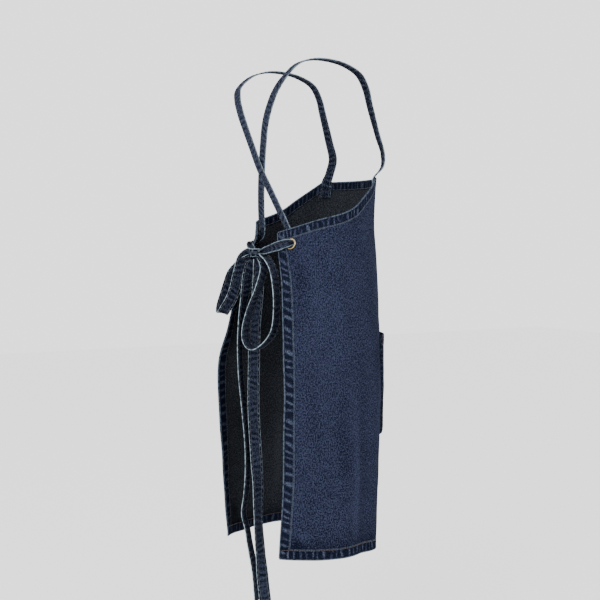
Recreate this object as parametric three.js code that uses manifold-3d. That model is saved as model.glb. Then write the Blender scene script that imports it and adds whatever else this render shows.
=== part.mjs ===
// Cross-back work apron in heavy denim, as it hangs on its wearer: a wrap-round body with a bib,
// hems turned in on its back, a patch pocket, two straps that cross behind, and a tied bow.
//
// Millimetres. +Z is up, the wearer faces -Y, the wearer's left is +X. The origin lies midway
// between the two places where the straps cross the shoulders.

import * as THREE from 'three';
import { mergeVertices } from 'three/addons/utils/BufferGeometryUtils.js';
import Module from 'manifold-3d';

const wasm = await Module();
wasm.setup();

// Body cloth
const HALF_WIDTH = 390;          // centre front to a back edge, along the cloth
const BIB_HALF_WIDTH = 118;      // centre front to a bib corner, along the cloth
const BIB_DROP = 240;            // shoulder down to the bib's top edge
const ARMHOLE_DROP = 115;        // bib's top edge down to the back corner of the wrap
const BODY_DROP = 773;           // bib's top edge down to the hem
const HEM_SWAY = 20;             // how much lower the hem hangs at its lowest place
const CLOTH = 1.6;
const GAP = 0.3;                 // clearance between pieces that touch
const SEAM_ROOM = 1.1;           // room that a flat piece needs on the curved cloth

// The wearer's form under the cloth
const HIP_HALF_WIDTH = 176;
const FRONT_DEPTH = 172;
const FOLD_DEPTH = 5;
const FOLD_GROWTH = 12;          // how fast a fold grows down the cloth

// Turned hems
const HEM_WIDTH = 20;
const FACING_WIDTH = 18;
const TURNING = 1.5;             // thickness of a turned-in band

// Pocket
const POCKET_WIDTH = 236;
const POCKET_HEIGHT = 212;
const POCKET_DROP = 330;         // bib's top edge down to the pocket's mouth
const POCKET_DEPTH = 7;
const POCKET_GAPE = 7;           // extra depth at the middle of the mouth
const POCKET_WALL = 1.3;
const POCKET_FLOOR_GAPE = 0.25;  // share of the gape that is left at the pocket's floor

// Straps
const STRAP_WIDTH = 25;
const STRAP_THICKNESS = 2.6;
const STRAP_SPREAD = 97;         // middle of the body to the middle of a shoulder strap
const CHEST_DEPTH = 145;
const BIB_SEAT = 34;             // length of strap sewn behind the bib
const GATHER_WIDTH = 10;         // strap folded on itself where it runs through a grommet
const GATHER_THICKNESS = 4.0;
const ENTRY_WIDTH = 17;          // the strap as it closes up above its grommet
const ENTRY_THICKNESS = 3.2;
const ENTRY_RISE = 24;
const ENTRY_ASIDE = 14;
const ENTRY_BEHIND = 14;         // how far inside the cloth it comes down
const EXIT_STAND = 9;            // how far outside the cloth it lies beyond the grommet
const CROSS_REACH = 0.4;         // share of STRAP_SPREAD over which the two straps part at the crossing

// Grommets
const GROMMET_BORE_R = 6.6;
const GROMMET_BARREL_R = 7.6;
const GROMMET_FLANGE_R = 12.3;
const GROMMET_WASHER_R = 10.6;
const GROMMET_RIM = 1.5;
const GROMMET_WASHER = 0.7;      // thickness of the inner washer
const GROMMET_EDGE = 0.8;        // rounding of the flange

// Bow
const KNOT_WIDTH = 27;
const KNOT_DEPTH = 19;
const KNOT_HEIGHT = 23;
const KNOT_STAND = 26;           // middle of the knot behind the wrap's back corners
const KNOT_HANG = 18;            // middle of the knot below the grommets
const GATHER_REACH = 48;         // loops and tails have their full width this far from the knot
const BOW_SPREAD = 100;          // scale of the loops' and tails' sideways places
const LOOP_LEFT_DROP = 129;
const LOOP_RIGHT_DROP = 199;
const TAIL_DROP = 745;
const TAIL_THICKNESS = 2.4;

// Plan of the cloth at eight levels. "at" is a share of BODY_DROP, "half" of HIP_HALF_WIDTH, "front" and
// "shift" of FRONT_DEPTH. Behind each side the cloth turns inwards by "turn" degrees over the "bend"
// share of its length, and runs straight from there to the back edge.
const SECTIONS = [
  { at: 0.00, half: 0.91, front: 0.92, shift: -0.02, turn: 68, bend: 0.40 },
  { at: 0.15, half: 0.90, front: 0.85, shift: -0.035, turn: 66, bend: 0.40 },
  { at: 0.28, half: 0.99, front: 0.90, shift: 0.00, turn: 52, bend: 0.50 },
  { at: 0.42, half: 0.98, front: 1.00, shift: 0.02, turn: 36, bend: 0.70 },
  { at: 0.53, half: 0.94, front: 1.04, shift: 0.025, turn: 13, bend: 0.90 },
  { at: 0.62, half: 0.94, front: 1.04, shift: 0.025, turn: 14, bend: 0.90 },
  { at: 0.80, half: 0.99, front: 0.985, shift: 0.03, turn: 34, bend: 0.95 },
  { at: 1.00, half: 0.965, front: 0.96, shift: 0.03, turn: 50, bend: 1.00 },
];

// Armhole edge from a bib corner to the back corner. "at" runs from BIB_HALF_WIDTH (0) to
// HALF_WIDTH (1), "drop" is a share of ARMHOLE_DROP.
const ARMHOLE = [
  { at: 0.00, drop: 0.00 },
  { at: 0.06, drop: 0.10 },
  { at: 0.20, drop: 0.34 },
  { at: 0.32, drop: 0.55 },
  { at: 0.44, drop: 0.67 },
  { at: 0.60, drop: 0.77 },
  { at: 1.00, drop: 1.00 },
];

// Long soft folds of the skirt. "across" and "spread" are shares of HALF_WIDTH, "depth" of FOLD_DEPTH,
// "from" is the share of BODY_DROP where a fold has grown to half its depth.
const FOLDS = [
  { across: -0.87, spread: 0.07, depth: -0.5, from: 0.75 },
  { across: -0.66, spread: 0.06, depth: 0.6, from: 0.70 },
  { across: -0.50, spread: 0.05, depth: -0.7, from: 0.65 },
  { across: -0.36, spread: 0.06, depth: 0.9, from: 0.55 },
  { across: 0.02, spread: 0.07, depth: -0.4, from: 0.90 },
  { across: 0.33, spread: 0.06, depth: 0.8, from: 0.60 },
  { across: 0.52, spread: 0.06, depth: -0.7, from: 0.62 },
  { across: 0.72, spread: 0.06, depth: 0.8, from: 0.66 },
];

// How far the hem hangs below BODY_DROP: "at" is a share of HALF_WIDTH, "sway" of HEM_SWAY.
const HEM_LINE = [
  { at: -1.00, sway: 0.00 },
  { at: -0.55, sway: 0.10 },
  { at: -0.25, sway: 0.55 },
  { at: 0.05, sway: 0.80 },
  { at: 0.50, sway: 0.15 },
  { at: 0.78, sway: 0.60 },
  { at: 1.00, sway: 0.40 },
];

// Middle line of the right strap from the bib over the shoulder to below the crossing; the left one
// mirrors it. "side" is a share of STRAP_SPREAD, "back" of CHEST_DEPTH, "down" of BIB_DROP, and "lean"
// the degrees by which the chest turns the strap's width from straight across.
const STRAP_ROUTE = [
  { side: -1.08, back: -0.96, down: 0.90, lean: 30 },
  { side: -1.03, back: -0.99, down: 0.78, lean: 30 },
  { side: -1.00, back: -0.91, down: 0.62, lean: 18 },
  { side: -0.98, back: -0.80, down: 0.40, lean: 4 },
  { side: -0.98, back: -0.63, down: 0.12, lean: 0 },
  { side: -0.99, back: -0.37, down: 0.045, lean: 0 },
  { side: -1.00, back: -0.08, down: 0.014, lean: 0 },
  { side: -1.01, back: 0.20, down: 0.02, lean: 0 },
  { side: -1.04, back: 0.44, down: 0.07, lean: 0 },
  { side: -1.06, back: 0.64, down: 0.18, lean: 0 },
  { side: -0.88, back: 0.72, down: 0.29, lean: 0 },
  { side: -0.68, back: 0.745, down: 0.41, lean: 0 },
  { side: -0.46, back: 0.74, down: 0.55, lean: 0 },
  { side: -0.23, back: 0.70, down: 0.73, lean: 0 },
  { side: 0.00, back: 0.645, down: 0.93, lean: 0 },
  { side: 0.26, back: 0.56, down: 1.14, lean: 0 },
  { side: 0.47, back: 0.475, down: 1.33, lean: 0 },
];

// Loops and tails from the knot. "side" and "back" are shares of BOW_SPREAD off the knot's middle,
// "down" of the piece's own drop; "edge" is the bearing of the band's width, degrees from +X to +Y.
const LOOP_LEFT = [
  { side: 0.10, back: 0.125, down: 0.01, edge: 66 },
  { side: 0.19, back: 0.16, down: 0.08, edge: 64 },
  { side: 0.37, back: 0.19, down: 0.21, edge: 60 },
  { side: 0.47, back: 0.21, down: 0.40, edge: 60 },
  { side: 0.56, back: 0.22, down: 0.60, edge: 60 },
  { side: 0.66, back: 0.265, down: 0.80, edge: 60 },
  { side: 0.73, back: 0.32, down: 0.92, edge: 60 },
  { side: 0.82, back: 0.345, down: 1.00, edge: 60 },
  { side: 0.915, back: 0.325, down: 0.975, edge: 60 },
  { side: 0.96, back: 0.30, down: 0.89, edge: 60 },
  { side: 0.935, back: 0.26, down: 0.70, edge: 60 },
  { side: 0.85, back: 0.225, down: 0.50, edge: 60 },
  { side: 0.70, back: 0.215, down: 0.34, edge: 60 },
  { side: 0.48, back: 0.165, down: 0.20, edge: 62 },
  { side: 0.27, back: 0.10, down: 0.10, edge: 74 },
  { side: 0.12, back: 0.05, down: 0.06, edge: 90 },
];
const LOOP_RIGHT = [
  { side: -0.065, back: 0.02, down: 0.059, edge: -60 },
  { side: -0.16, back: 0.045, down: 0.08, edge: -64 },
  { side: -0.30, back: 0.055, down: 0.11, edge: -68 },
  { side: -0.38, back: 0.07, down: 0.17, edge: -70 },
  { side: -0.30, back: 0.13, down: 0.36, edge: -70 },
  { side: -0.13, back: 0.22, down: 0.60, edge: -70 },
  { side: 0.01, back: 0.25, down: 0.79, edge: -70 },
  { side: 0.02, back: 0.24, down: 0.91, edge: -70 },
  { side: -0.08, back: 0.20, down: 0.985, edge: -70 },
  { side: -0.25, back: 0.15, down: 1.00, edge: -70 },
  { side: -0.45, back: 0.08, down: 0.95, edge: -70 },
  { side: -0.60, back: 0.00, down: 0.87, edge: -70 },
  { side: -0.70, back: -0.05, down: 0.77, edge: -70 },
  { side: -0.75, back: -0.07, down: 0.58, edge: -70 },
  { side: -0.72, back: -0.07, down: 0.36, edge: -70 },
  { side: -0.64, back: -0.04, down: 0.17, edge: -70 },
  { side: -0.50, back: -0.01, down: 0.085, edge: -68 },
  { side: -0.33, back: 0.01, down: 0.05, edge: -64 },
  { side: -0.12, back: 0.02, down: 0.037, edge: -60 },
];
const TAIL_RIGHT = [
  { side: -0.01, back: -0.02, down: 0.0163, edge: 50 },
  { side: -0.02, back: -0.04, down: 0.05, edge: 56 },
  { side: 0.03, back: -0.03, down: 0.12, edge: 60 },
  { side: 0.09, back: 0.00, down: 0.20, edge: 58 },
  { side: 0.10, back: 0.02, down: 0.32, edge: 60 },
  { side: 0.12, back: 0.02, down: 0.44, edge: 62 },
  { side: 0.05, back: 0.00, down: 0.57, edge: 66 },
  { side: 0.01, back: -0.02, down: 0.66, edge: 78 },
  { side: -0.04, back: -0.03, down: 0.76, edge: 70 },
  { side: -0.09, back: -0.04, down: 0.85, edge: 62 },
  { side: -0.18, back: -0.05, down: 0.94, edge: 60 },
  { side: -0.26, back: -0.07, down: 1.00, edge: 60 },
];
const TAIL_LEFT = [
  { side: 0.074, back: -0.060, down: 0.0127, edge: 30 },
  { side: 0.19, back: 0.00, down: 0.045, edge: 10 },
  { side: 0.23, back: 0.13, down: 0.09, edge: -20 },
  { side: 0.27, back: 0.24, down: 0.14, edge: -46 },
  { side: 0.29, back: 0.26, down: 0.23, edge: -54 },
  { side: 0.29, back: 0.23, down: 0.335, edge: -54 },
  { side: 0.31, back: 0.15, down: 0.43, edge: -54 },
  { side: 0.30, back: 0.08, down: 0.54, edge: -52 },
  { side: 0.30, back: 0.065, down: 0.62, edge: -54 },
  { side: 0.32, back: 0.09, down: 0.69, edge: -56 },
  { side: 0.36, back: 0.13, down: 0.745, edge: -50 },
  { side: 0.31, back: 0.05, down: 0.79, edge: -44 },
  { side: 0.26, back: -0.05, down: 0.83, edge: -46 },
  { side: 0.21, back: -0.13, down: 0.91, edge: -50 },
  { side: 0.18, back: -0.17, down: 1.00, edge: -54 },
];

const DENIM = { color: 0x2c364a, roughness: 0.92, metalness: 0 };
const STRAP_DENIM = { color: 0x272f3c, roughness: 0.92, metalness: 0 };
const BRASS = { color: 0xb08d57, roughness: 0.35, metalness: 1 };

const apron = new THREE.Group();

function addPiece(name, geometry, finish) {
  const mesh = new THREE.Mesh(geometry, new THREE.MeshStandardMaterial(finish));
  mesh.name = name;
  apron.add(mesh);
  return mesh;
}

// Smooth value of a table's column at a place on its "at" column
function columnAt(rows, column, at) {
  const last = rows.length - 1;
  let k = 0;
  while (k < last - 1 && at > rows[k + 1].at) k += 1;
  const slope = (i) => {
    const before = rows[Math.max(i - 1, 0)];
    const after = rows[Math.min(i + 1, last)];
    return (after[column] - before[column]) / (after.at - before.at);
  };
  const span = rows[k + 1].at - rows[k].at;
  const t = THREE.MathUtils.clamp((at - rows[k].at) / span, 0, 1);
  const rise = t * t * (3 - 2 * t);
  return rows[k][column] * (1 - rise) + rows[k + 1][column] * rise
    + span * (slope(k) * t * (1 - t) ** 2 - slope(k + 1) * t * t * (1 - t));
}

const bibTop = -BIB_DROP;

function topEdge(across) {
  const beyond = (Math.abs(across) - BIB_HALF_WIDTH) / (HALF_WIDTH - BIB_HALF_WIDTH);
  return beyond <= 0 ? bibTop : bibTop - ARMHOLE_DROP * columnAt(ARMHOLE, 'drop', beyond);
}

function hemEdge(across) {
  return bibTop - BODY_DROP - HEM_SWAY * columnAt(HEM_LINE, 'sway', across / HALF_WIDTH);
}

function foldAt(across, level) {
  return FOLDS.reduce((sum, fold) => {
    const off = (across / HALF_WIDTH - fold.across) / fold.spread;
    const grown = 1 / (1 + Math.exp((fold.from - level) * FOLD_GROWTH));
    return sum + FOLD_DEPTH * fold.depth * grown * Math.exp(-off * off);
  }, 0);
}

// A point on the hanging cloth: distance across it from centre front, height, and how far outside
// the cloth's middle it lies
function clothPoint(across, height, out) {
  const level = THREE.MathUtils.clamp((bibTop - height) / BODY_DROP, 0, 1.05);
  const half = HIP_HALF_WIDTH * columnAt(SECTIONS, 'half', level);
  const front = FRONT_DEPTH * columnAt(SECTIONS, 'front', level);
  const shift = FRONT_DEPTH * columnAt(SECTIONS, 'shift', level);
  const side = Math.sign(across);
  const quarter = (Math.PI / 2) * Math.sqrt((half * half + front * front) / 2);
  const along = Math.abs(across);
  const off = out + foldAt(across, level);
  if (along <= quarter) {
    const angle = (along / quarter) * (Math.PI / 2);
    const normal = new THREE.Vector2(Math.sin(angle) / half, -Math.cos(angle) / front).normalize();
    return new THREE.Vector3(
      side * (half * Math.sin(angle) + off * normal.x),
      shift - front * Math.cos(angle) + off * normal.y,
      height);
  }
  const turn = THREE.MathUtils.degToRad(columnAt(SECTIONS, 'turn', level));
  const bendLength = (HALF_WIDTH - quarter) * columnAt(SECTIONS, 'bend', level);
  const radius = bendLength / turn;
  const angle = Math.min((along - quarter) / radius, turn);
  const straight = Math.max(along - quarter - bendLength, 0);
  return new THREE.Vector3(
    side * (half - radius + (radius + off) * Math.cos(angle) - straight * Math.sin(turn)),
    shift + (radius + off) * Math.sin(angle) + straight * Math.cos(turn),
    height);
}

function geometryOf(points, faces) {
  const geometry = new THREE.BufferGeometry();
  geometry.setAttribute('position', new THREE.Float32BufferAttribute(points.flatMap((p) => p.toArray()), 3));
  geometry.setIndex(faces);
  geometry.computeVertexNormals();
  return geometry;
}

// A closed sheet over a grid. Columns run towards the wearer's left, rows downwards.
function sheet(columns, rows, place, inner, outer) {
  const points = [inner, outer].flatMap((out) => rows.flatMap((r) => columns.map((c) => place(c, r, out))));
  const at = (side, j, i) => (side * rows.length + j) * columns.length + i;
  const faces = [];
  const quad = (a, b, c, d) => faces.push(a, b, c, a, c, d);
  const right = columns.length - 1;
  const bottom = rows.length - 1;
  for (let j = 0; j < bottom; j += 1) {
    for (let i = 0; i < right; i += 1) {
      quad(at(1, j, i), at(1, j + 1, i), at(1, j + 1, i + 1), at(1, j, i + 1));
      quad(at(0, j, i), at(0, j, i + 1), at(0, j + 1, i + 1), at(0, j + 1, i));
    }
    quad(at(0, j, 0), at(0, j + 1, 0), at(1, j + 1, 0), at(1, j, 0));
    quad(at(1, j, right), at(1, j + 1, right), at(0, j + 1, right), at(0, j, right));
  }
  for (let i = 0; i < right; i += 1) {
    quad(at(1, 0, i), at(1, 0, i + 1), at(0, 0, i + 1), at(0, 0, i));
    quad(at(0, bottom, i), at(0, bottom, i + 1), at(1, bottom, i + 1), at(1, bottom, i));
  }
  return geometryOf(points, faces);
}

// A closed flat band swept along a route of { point, edge, width, thickness }
function band(route, steps) {
  const line = new THREE.CatmullRomCurve3(route.map((r) => r.point), false, 'centripetal');
  const rows = [];
  for (let k = 0; k <= steps; k += 1) {
    const t = k / steps;
    const place = t * (route.length - 1);
    const from = Math.min(Math.floor(place), route.length - 2);
    const mix = place - from;
    const tangent = line.getTangent(t);
    const across = route[from].edge.clone().lerp(route[from + 1].edge, mix);
    across.addScaledVector(tangent, -across.dot(tangent)).normalize();
    const up = new THREE.Vector3().crossVectors(tangent, across);
    const half = THREE.MathUtils.lerp(route[from].width, route[from + 1].width, mix) / 2;
    const thick = THREE.MathUtils.lerp(route[from].thickness, route[from + 1].thickness, mix) / 2;
    const centre = line.getPoint(t);
    rows.push([[-1, -1], [1, -1], [1, 1], [-1, 1]].map(([a, b]) => centre.clone()
      .addScaledVector(across, a * half).addScaledVector(up, b * thick)));
  }
  const faces = [];
  for (let k = 0; k < steps; k += 1) {
    for (let i = 0; i < 4; i += 1) {
      const a = k * 4 + i;
      const b = k * 4 + ((i + 1) % 4);
      faces.push(a, b, b + 4, a, b + 4, a + 4);
    }
  }
  const end = steps * 4;
  faces.push(0, 2, 1, 0, 3, 2, end, end + 1, end + 2, end, end + 2, end + 3);
  return geometryOf(rows.flat(), faces);
}

function solidOf(geometry) {
  const bare = geometry.clone();
  bare.deleteAttribute('normal');
  bare.deleteAttribute('uv');
  const merged = mergeVertices(bare, 1e-4);
  return new wasm.Manifold(new wasm.Mesh({
    numProp: 3,
    vertProperties: new Float32Array(merged.attributes.position.array),
    triVerts: new Uint32Array(merged.index.array),
  }));
}

function geometryFrom(solid) {
  const mesh = solid.getMesh();
  const geometry = new THREE.BufferGeometry();
  geometry.setAttribute('position', new THREE.BufferAttribute(mesh.vertProperties, 3));
  geometry.setIndex(new THREE.BufferAttribute(mesh.triVerts, 1));
  geometry.computeVertexNormals();
  return geometry;
}

function steps(from, to, count) {
  return Array.from({ length: count + 1 }, (_, i) => THREE.MathUtils.lerp(from, to, i / count));
}

// Depth of the turned band below the top edge, measured square to that edge
function facingDepth(across) {
  const reach = 4;
  const slope = (topEdge(Math.abs(across) + reach) - topEdge(Math.abs(across) - reach)) / (2 * reach);
  return FACING_WIDTH * Math.sqrt(1 + slope * slope);
}
const bandFoot = (across) => topEdge(across) - facingDepth(across);
const hemHead = (across) => hemEdge(across) + HEM_WIDTH;

// Each grommet is pressed into one flat facet of the cloth, clear of the side hem and the top band
const SEAT_CLEARANCE = 1;
const seatSize = 2 * (GROMMET_FLANGE_R + SEAT_CLEARANCE);
const seatOuter = HALF_WIDTH - HEM_WIDTH;
const seatInner = seatOuter - seatSize;
const seatShare = seatSize / (bandFoot(seatOuter) - hemHead(seatOuter));

// Grid lines of the body cloth: columns across it, and rows between the top band and the hem
const BIB_COLUMNS = 6;
const SIDE_COLUMNS = 11;
const ROW_COUNT = 23;
const halfColumns = [
  ...steps(0, BIB_HALF_WIDTH, BIB_COLUMNS),
  ...steps(BIB_HALF_WIDTH, seatInner, SIDE_COLUMNS).slice(1),
  seatOuter,
  HALF_WIDTH,
];
const columns = [...halfColumns.slice(1).map((c) => -c).reverse(), ...halfColumns];
const rowShares = [0, ...steps(seatShare, 1, ROW_COUNT)];
const rows = ['top', ...rowShares, 'hem'];

function rowHeight(across, row) {
  if (row === 'top') return topEdge(across);
  if (row === 'hem') return hemEdge(across);
  return THREE.MathUtils.lerp(bandFoot(across), hemHead(across), row);
}

const onCloth = (across, row, out) => clothPoint(across, rowHeight(across, row), out);

const outer = CLOTH / 2;
const bandOut = -outer - GAP;
const bandIn = bandOut - TURNING;

function grommetSeat(side) {
  const corners = [[seatInner, 0], [seatOuter, 0], [seatOuter, seatShare], [seatInner, seatShare]]
    .map(([across, row]) => onCloth(side * across, row, 0));
  const point = new THREE.Vector3();
  corners.forEach((c) => point.addScaledVector(c, 1 / corners.length));
  const normal = corners[2].clone().sub(corners[0]).cross(corners[3].clone().sub(corners[1])).normalize();
  normal.multiplyScalar(Math.sign(normal.y));
  const turn = new THREE.Quaternion().setFromUnitVectors(new THREE.Vector3(0, 1, 0), normal);
  return { point, normal, turn };
}

// Body: one sheet, with a hole for each grommet
let body = solidOf(sheet(columns, rows, onCloth, -outer, outer));
const HOLE_SIDES = 20;
for (const side of [-1, 1]) {
  const seat = grommetSeat(side);
  const holeRadius = GROMMET_BARREL_R + GAP;
  const drill = new THREE.CylinderGeometry(holeRadius, holeRadius, HEM_WIDTH, HOLE_SIDES);
  drill.applyQuaternion(seat.turn);
  drill.translate(...seat.point.toArray());
  body = body.subtract(solidOf(drill));
}
addPiece('apron_panel', geometryFrom(body), DENIM);

// Turned bands on the inner side
const innerBand = (cols, lines, place) => sheet(cols, lines, place, bandIn, bandOut);
addPiece('hem_bottom', innerBand(columns, [HEM_WIDTH - GAP, 0],
  (c, rise, out) => clothPoint(c, hemEdge(c) + rise, out)), DENIM);
const bibShrink = 1 - GAP / BIB_HALF_WIDTH;
addPiece('hem_bib', innerBand(columns.filter((c) => Math.abs(c) <= BIB_HALF_WIDTH), [0, FACING_WIDTH],
  (c, drop, out) => clothPoint(c * bibShrink, bibTop - drop, out)), DENIM);
for (const side of [-1, 1]) {
  const word = side < 0 ? 'right' : 'left';
  const edgeColumns = [HALF_WIDTH - HEM_WIDTH, HALF_WIDTH].map((c) => side * c).sort((a, b) => a - b);
  const endGap = { 0: -GAP, 1: GAP };
  addPiece(`hem_side_${word}`, innerBand(edgeColumns, rowShares,
    (c, r, out) => clothPoint(c, rowHeight(c, r) + (endGap[r] ?? 0), out)), DENIM);
  const armColumns = columns.filter((c) => side * c >= BIB_HALF_WIDTH - GAP);
  addPiece(`facing_arm_${word}`, innerBand(armColumns, ['top', 0], onCloth), DENIM);
}

// Pocket: a tray with a front, two sides and a floor, open at its mouth and against the body
const pocketTop = bibTop - POCKET_DROP;
const POCKET_COLUMNS = 12;
const POCKET_ROWS = 8;
function pocketPoint(across, height, out) {
  const middle = 1 - (2 * across / POCKET_WIDTH) ** 2;
  const mouth = Math.max(0, 1 - (pocketTop - height) / POCKET_HEIGHT);
  const opened = THREE.MathUtils.lerp(POCKET_FLOOR_GAPE, 1, mouth * mouth);
  const lift = POCKET_GAPE * Math.max(0, middle) * opened;
  return clothPoint(across, height, out > POCKET_DEPTH / 2 ? out + lift : out);
}
function pocketBlock(inset, rise, low, high) {
  const half = POCKET_WIDTH / 2 - inset;
  return solidOf(sheet(steps(-half, half, POCKET_COLUMNS),
    steps(pocketTop + rise, pocketTop - POCKET_HEIGHT + inset, POCKET_ROWS), pocketPoint, low, high));
}
const pocket = pocketBlock(0, 0, outer + GAP, POCKET_DEPTH)
  .subtract(pocketBlock(POCKET_WALL, POCKET_WALL, 0, POCKET_DEPTH - POCKET_WALL));
addPiece('pocket', geometryFrom(pocket), DENIM);

// Grommets: a barrel through the cloth, a rounded flange outside and a washer inside
const RING_SIDES = 20;
const washerFace = -outer - GAP - SEAM_ROOM;
const flangeFace = outer + GAP + SEAM_ROOM / 2;
const grommetProfile = [
  [GROMMET_BORE_R, washerFace - GROMMET_WASHER],
  [GROMMET_WASHER_R, washerFace - GROMMET_WASHER],
  [GROMMET_WASHER_R, washerFace],
  [GROMMET_BARREL_R, washerFace],
  [GROMMET_BARREL_R, flangeFace],
  [GROMMET_FLANGE_R, flangeFace],
  [GROMMET_FLANGE_R - GROMMET_EDGE, flangeFace + GROMMET_EDGE],
  [(GROMMET_FLANGE_R + GROMMET_BORE_R) / 2, flangeFace + GROMMET_RIM],
  [GROMMET_BORE_R + GROMMET_EDGE, flangeFace + GROMMET_EDGE],
  [GROMMET_BORE_R, flangeFace],
  [GROMMET_BORE_R, washerFace - GROMMET_WASHER],
].map(([r, h]) => new THREE.Vector2(r, h));
for (const side of [-1, 1]) {
  const ring = addPiece(side < 0 ? 'grommet_right' : 'grommet_left',
    new THREE.LatheGeometry(grommetProfile, RING_SIDES), BRASS);
  const seat = grommetSeat(side);
  ring.position.copy(seat.point);
  ring.quaternion.copy(seat.turn);
}

// Knot, midway between the back corners and just outside them
const corner = clothPoint(HALF_WIDTH, topEdge(HALF_WIDTH), 0);
const knotAt = new THREE.Vector3(0, corner.y + KNOT_STAND, grommetSeat(1).point.z - KNOT_HANG);
const KNOT_AROUND = 16;
const KNOT_RINGS = 10;
const knot = addPiece('knot', new THREE.SphereGeometry(0.5, KNOT_AROUND, KNOT_RINGS), STRAP_DENIM);
knot.geometry.scale(KNOT_WIDTH, KNOT_DEPTH, KNOT_HEIGHT);
knot.position.copy(knotAt);

// Straps: sewn behind the bib, over the shoulder, across the back, out through a grommet, to the knot
const UP = new THREE.Vector3(0, 0, 1);
const ASIDE = new THREE.Vector3(1, 0, 0);
const CROSS_STEP = STRAP_THICKNESS / 2 + 2 * GAP;
const STRAP_STEPS = 90;
function strapRoute(start) {
  const full = { width: STRAP_WIDTH, thickness: STRAP_THICKNESS };
  const gathered = { width: GATHER_WIDTH, thickness: GATHER_THICKNESS, edge: UP };
  const seatAcross = start * (BIB_HALF_WIDTH - STRAP_WIDTH / 2 - GAP);
  const seatOut = bandIn - GAP - STRAP_THICKNESS / 2 - SEAM_ROOM;
  const route = [1, 0.5, 0].map((share) => {
    const height = bibTop - BIB_SEAT * share;
    const edge = clothPoint(seatAcross + 1, height, 0).sub(clothPoint(seatAcross, height, 0));
    return { point: clothPoint(seatAcross, height, seatOut), edge, ...full };
  });
  STRAP_ROUTE.forEach((row) => {
    const nearCross = Math.exp(-((row.side / CROSS_REACH) ** 2));
    const lean = THREE.MathUtils.degToRad(row.lean);
    route.push({
      point: new THREE.Vector3(-start * row.side * STRAP_SPREAD,
        row.back * CHEST_DEPTH - start * CROSS_STEP * nearCross, -row.down * BIB_DROP),
      edge: new THREE.Vector3(Math.cos(lean), start * Math.sin(lean), 0), ...full,
    });
  });
  const seat = grommetSeat(-start);
  const inward = new THREE.Vector3(start, 0, 0);
  const along = new THREE.Vector3().crossVectors(seat.normal, UP).multiplyScalar(-start);
  const through = (depth) => seat.point.clone().addScaledVector(seat.normal, depth);
  const toKnot = knotAt.clone().addScaledVector(inward, -KNOT_WIDTH / 2 - 2 * GAP);
  const twist = along.clone().negate().multiplyScalar(Math.sign(along.x) * -1).add(UP);
  route.push({
    point: through(-ENTRY_BEHIND).addScaledVector(UP, ENTRY_RISE).addScaledVector(inward, ENTRY_ASIDE),
    edge: ASIDE, width: ENTRY_WIDTH, thickness: ENTRY_THICKNESS,
  });
  route.push({ point: through(-ENTRY_BEHIND / 2).addScaledVector(UP, 2), ...gathered, edge: twist });
  route.push({ point: through(1), ...gathered, edge: twist });
  route.push({ point: through(EXIT_STAND - 2).addScaledVector(inward, 3), ...gathered });
  route.push({ point: through(EXIT_STAND + 2).lerp(toKnot, 0.3), ...gathered });
  route.push({ point: through(EXIT_STAND + 1).lerp(toKnot, 0.7), ...gathered });
  route.push({ point: toKnot, ...gathered });
  return route;
}
addPiece('strap_right', band(strapRoute(-1), STRAP_STEPS), STRAP_DENIM);
addPiece('strap_left', band(strapRoute(1), STRAP_STEPS), STRAP_DENIM);

// Bow loops and tails
function bowRoute(table, drop) {
  return table.map((row) => {
    const bearing = THREE.MathUtils.degToRad(row.edge);
    const offset = new THREE.Vector3(row.side * BOW_SPREAD, row.back * BOW_SPREAD, -row.down * drop);
    const opened = THREE.MathUtils.smoothstep(offset.length(), 0, GATHER_REACH);
    return {
      point: offset.clone().add(knotAt),
      edge: new THREE.Vector3(Math.cos(bearing), Math.sin(bearing), 0),
      width: THREE.MathUtils.lerp(GATHER_WIDTH * 0.8, STRAP_WIDTH, opened),
      thickness: TAIL_THICKNESS,
    };
  });
}
const LOOP_STEPS = 40;
const TAIL_STEPS = 36;
addPiece('bow_loop_left', band(bowRoute(LOOP_LEFT, LOOP_LEFT_DROP), LOOP_STEPS), STRAP_DENIM);
addPiece('bow_loop_right', band(bowRoute(LOOP_RIGHT, LOOP_RIGHT_DROP), LOOP_STEPS), STRAP_DENIM);
addPiece('tail_right', band(bowRoute(TAIL_RIGHT, TAIL_DROP), TAIL_STEPS), STRAP_DENIM);
addPiece('tail_left', band(bowRoute(TAIL_LEFT, TAIL_DROP), TAIL_STEPS), STRAP_DENIM);

export default apron;
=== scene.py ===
import math

import bmesh
import bpy
import numpy as np
from mathutils import Matrix, Vector


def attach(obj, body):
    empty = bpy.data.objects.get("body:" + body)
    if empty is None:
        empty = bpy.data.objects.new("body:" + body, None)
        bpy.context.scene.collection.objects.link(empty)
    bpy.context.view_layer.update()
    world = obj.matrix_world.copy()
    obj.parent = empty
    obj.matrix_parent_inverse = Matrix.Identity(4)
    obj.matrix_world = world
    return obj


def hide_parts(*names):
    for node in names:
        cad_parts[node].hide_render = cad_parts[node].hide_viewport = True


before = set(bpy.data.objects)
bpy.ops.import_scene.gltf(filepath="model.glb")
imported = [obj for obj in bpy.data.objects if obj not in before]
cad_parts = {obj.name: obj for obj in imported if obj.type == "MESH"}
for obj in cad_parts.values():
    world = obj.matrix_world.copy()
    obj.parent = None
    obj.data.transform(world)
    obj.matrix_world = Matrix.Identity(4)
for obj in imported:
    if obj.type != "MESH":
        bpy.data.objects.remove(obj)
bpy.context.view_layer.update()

# ------------------------------------------------------------------ body
# One piece of washed indigo denim: a bib with two curved armholes, wide enough below to wrap
# round to the back. It hangs from the straps, and the tie behind draws it in at the waist.
HALF_WIDTH = 0.390
BIB_HALF_WIDTH = 0.118
BIB_TOP = -0.240
ARMHOLE_DROP = 0.115
BODY_DROP = 0.773
HEM_SWAY = 0.020
HIP_HALF_WIDTH = 0.176
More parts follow.
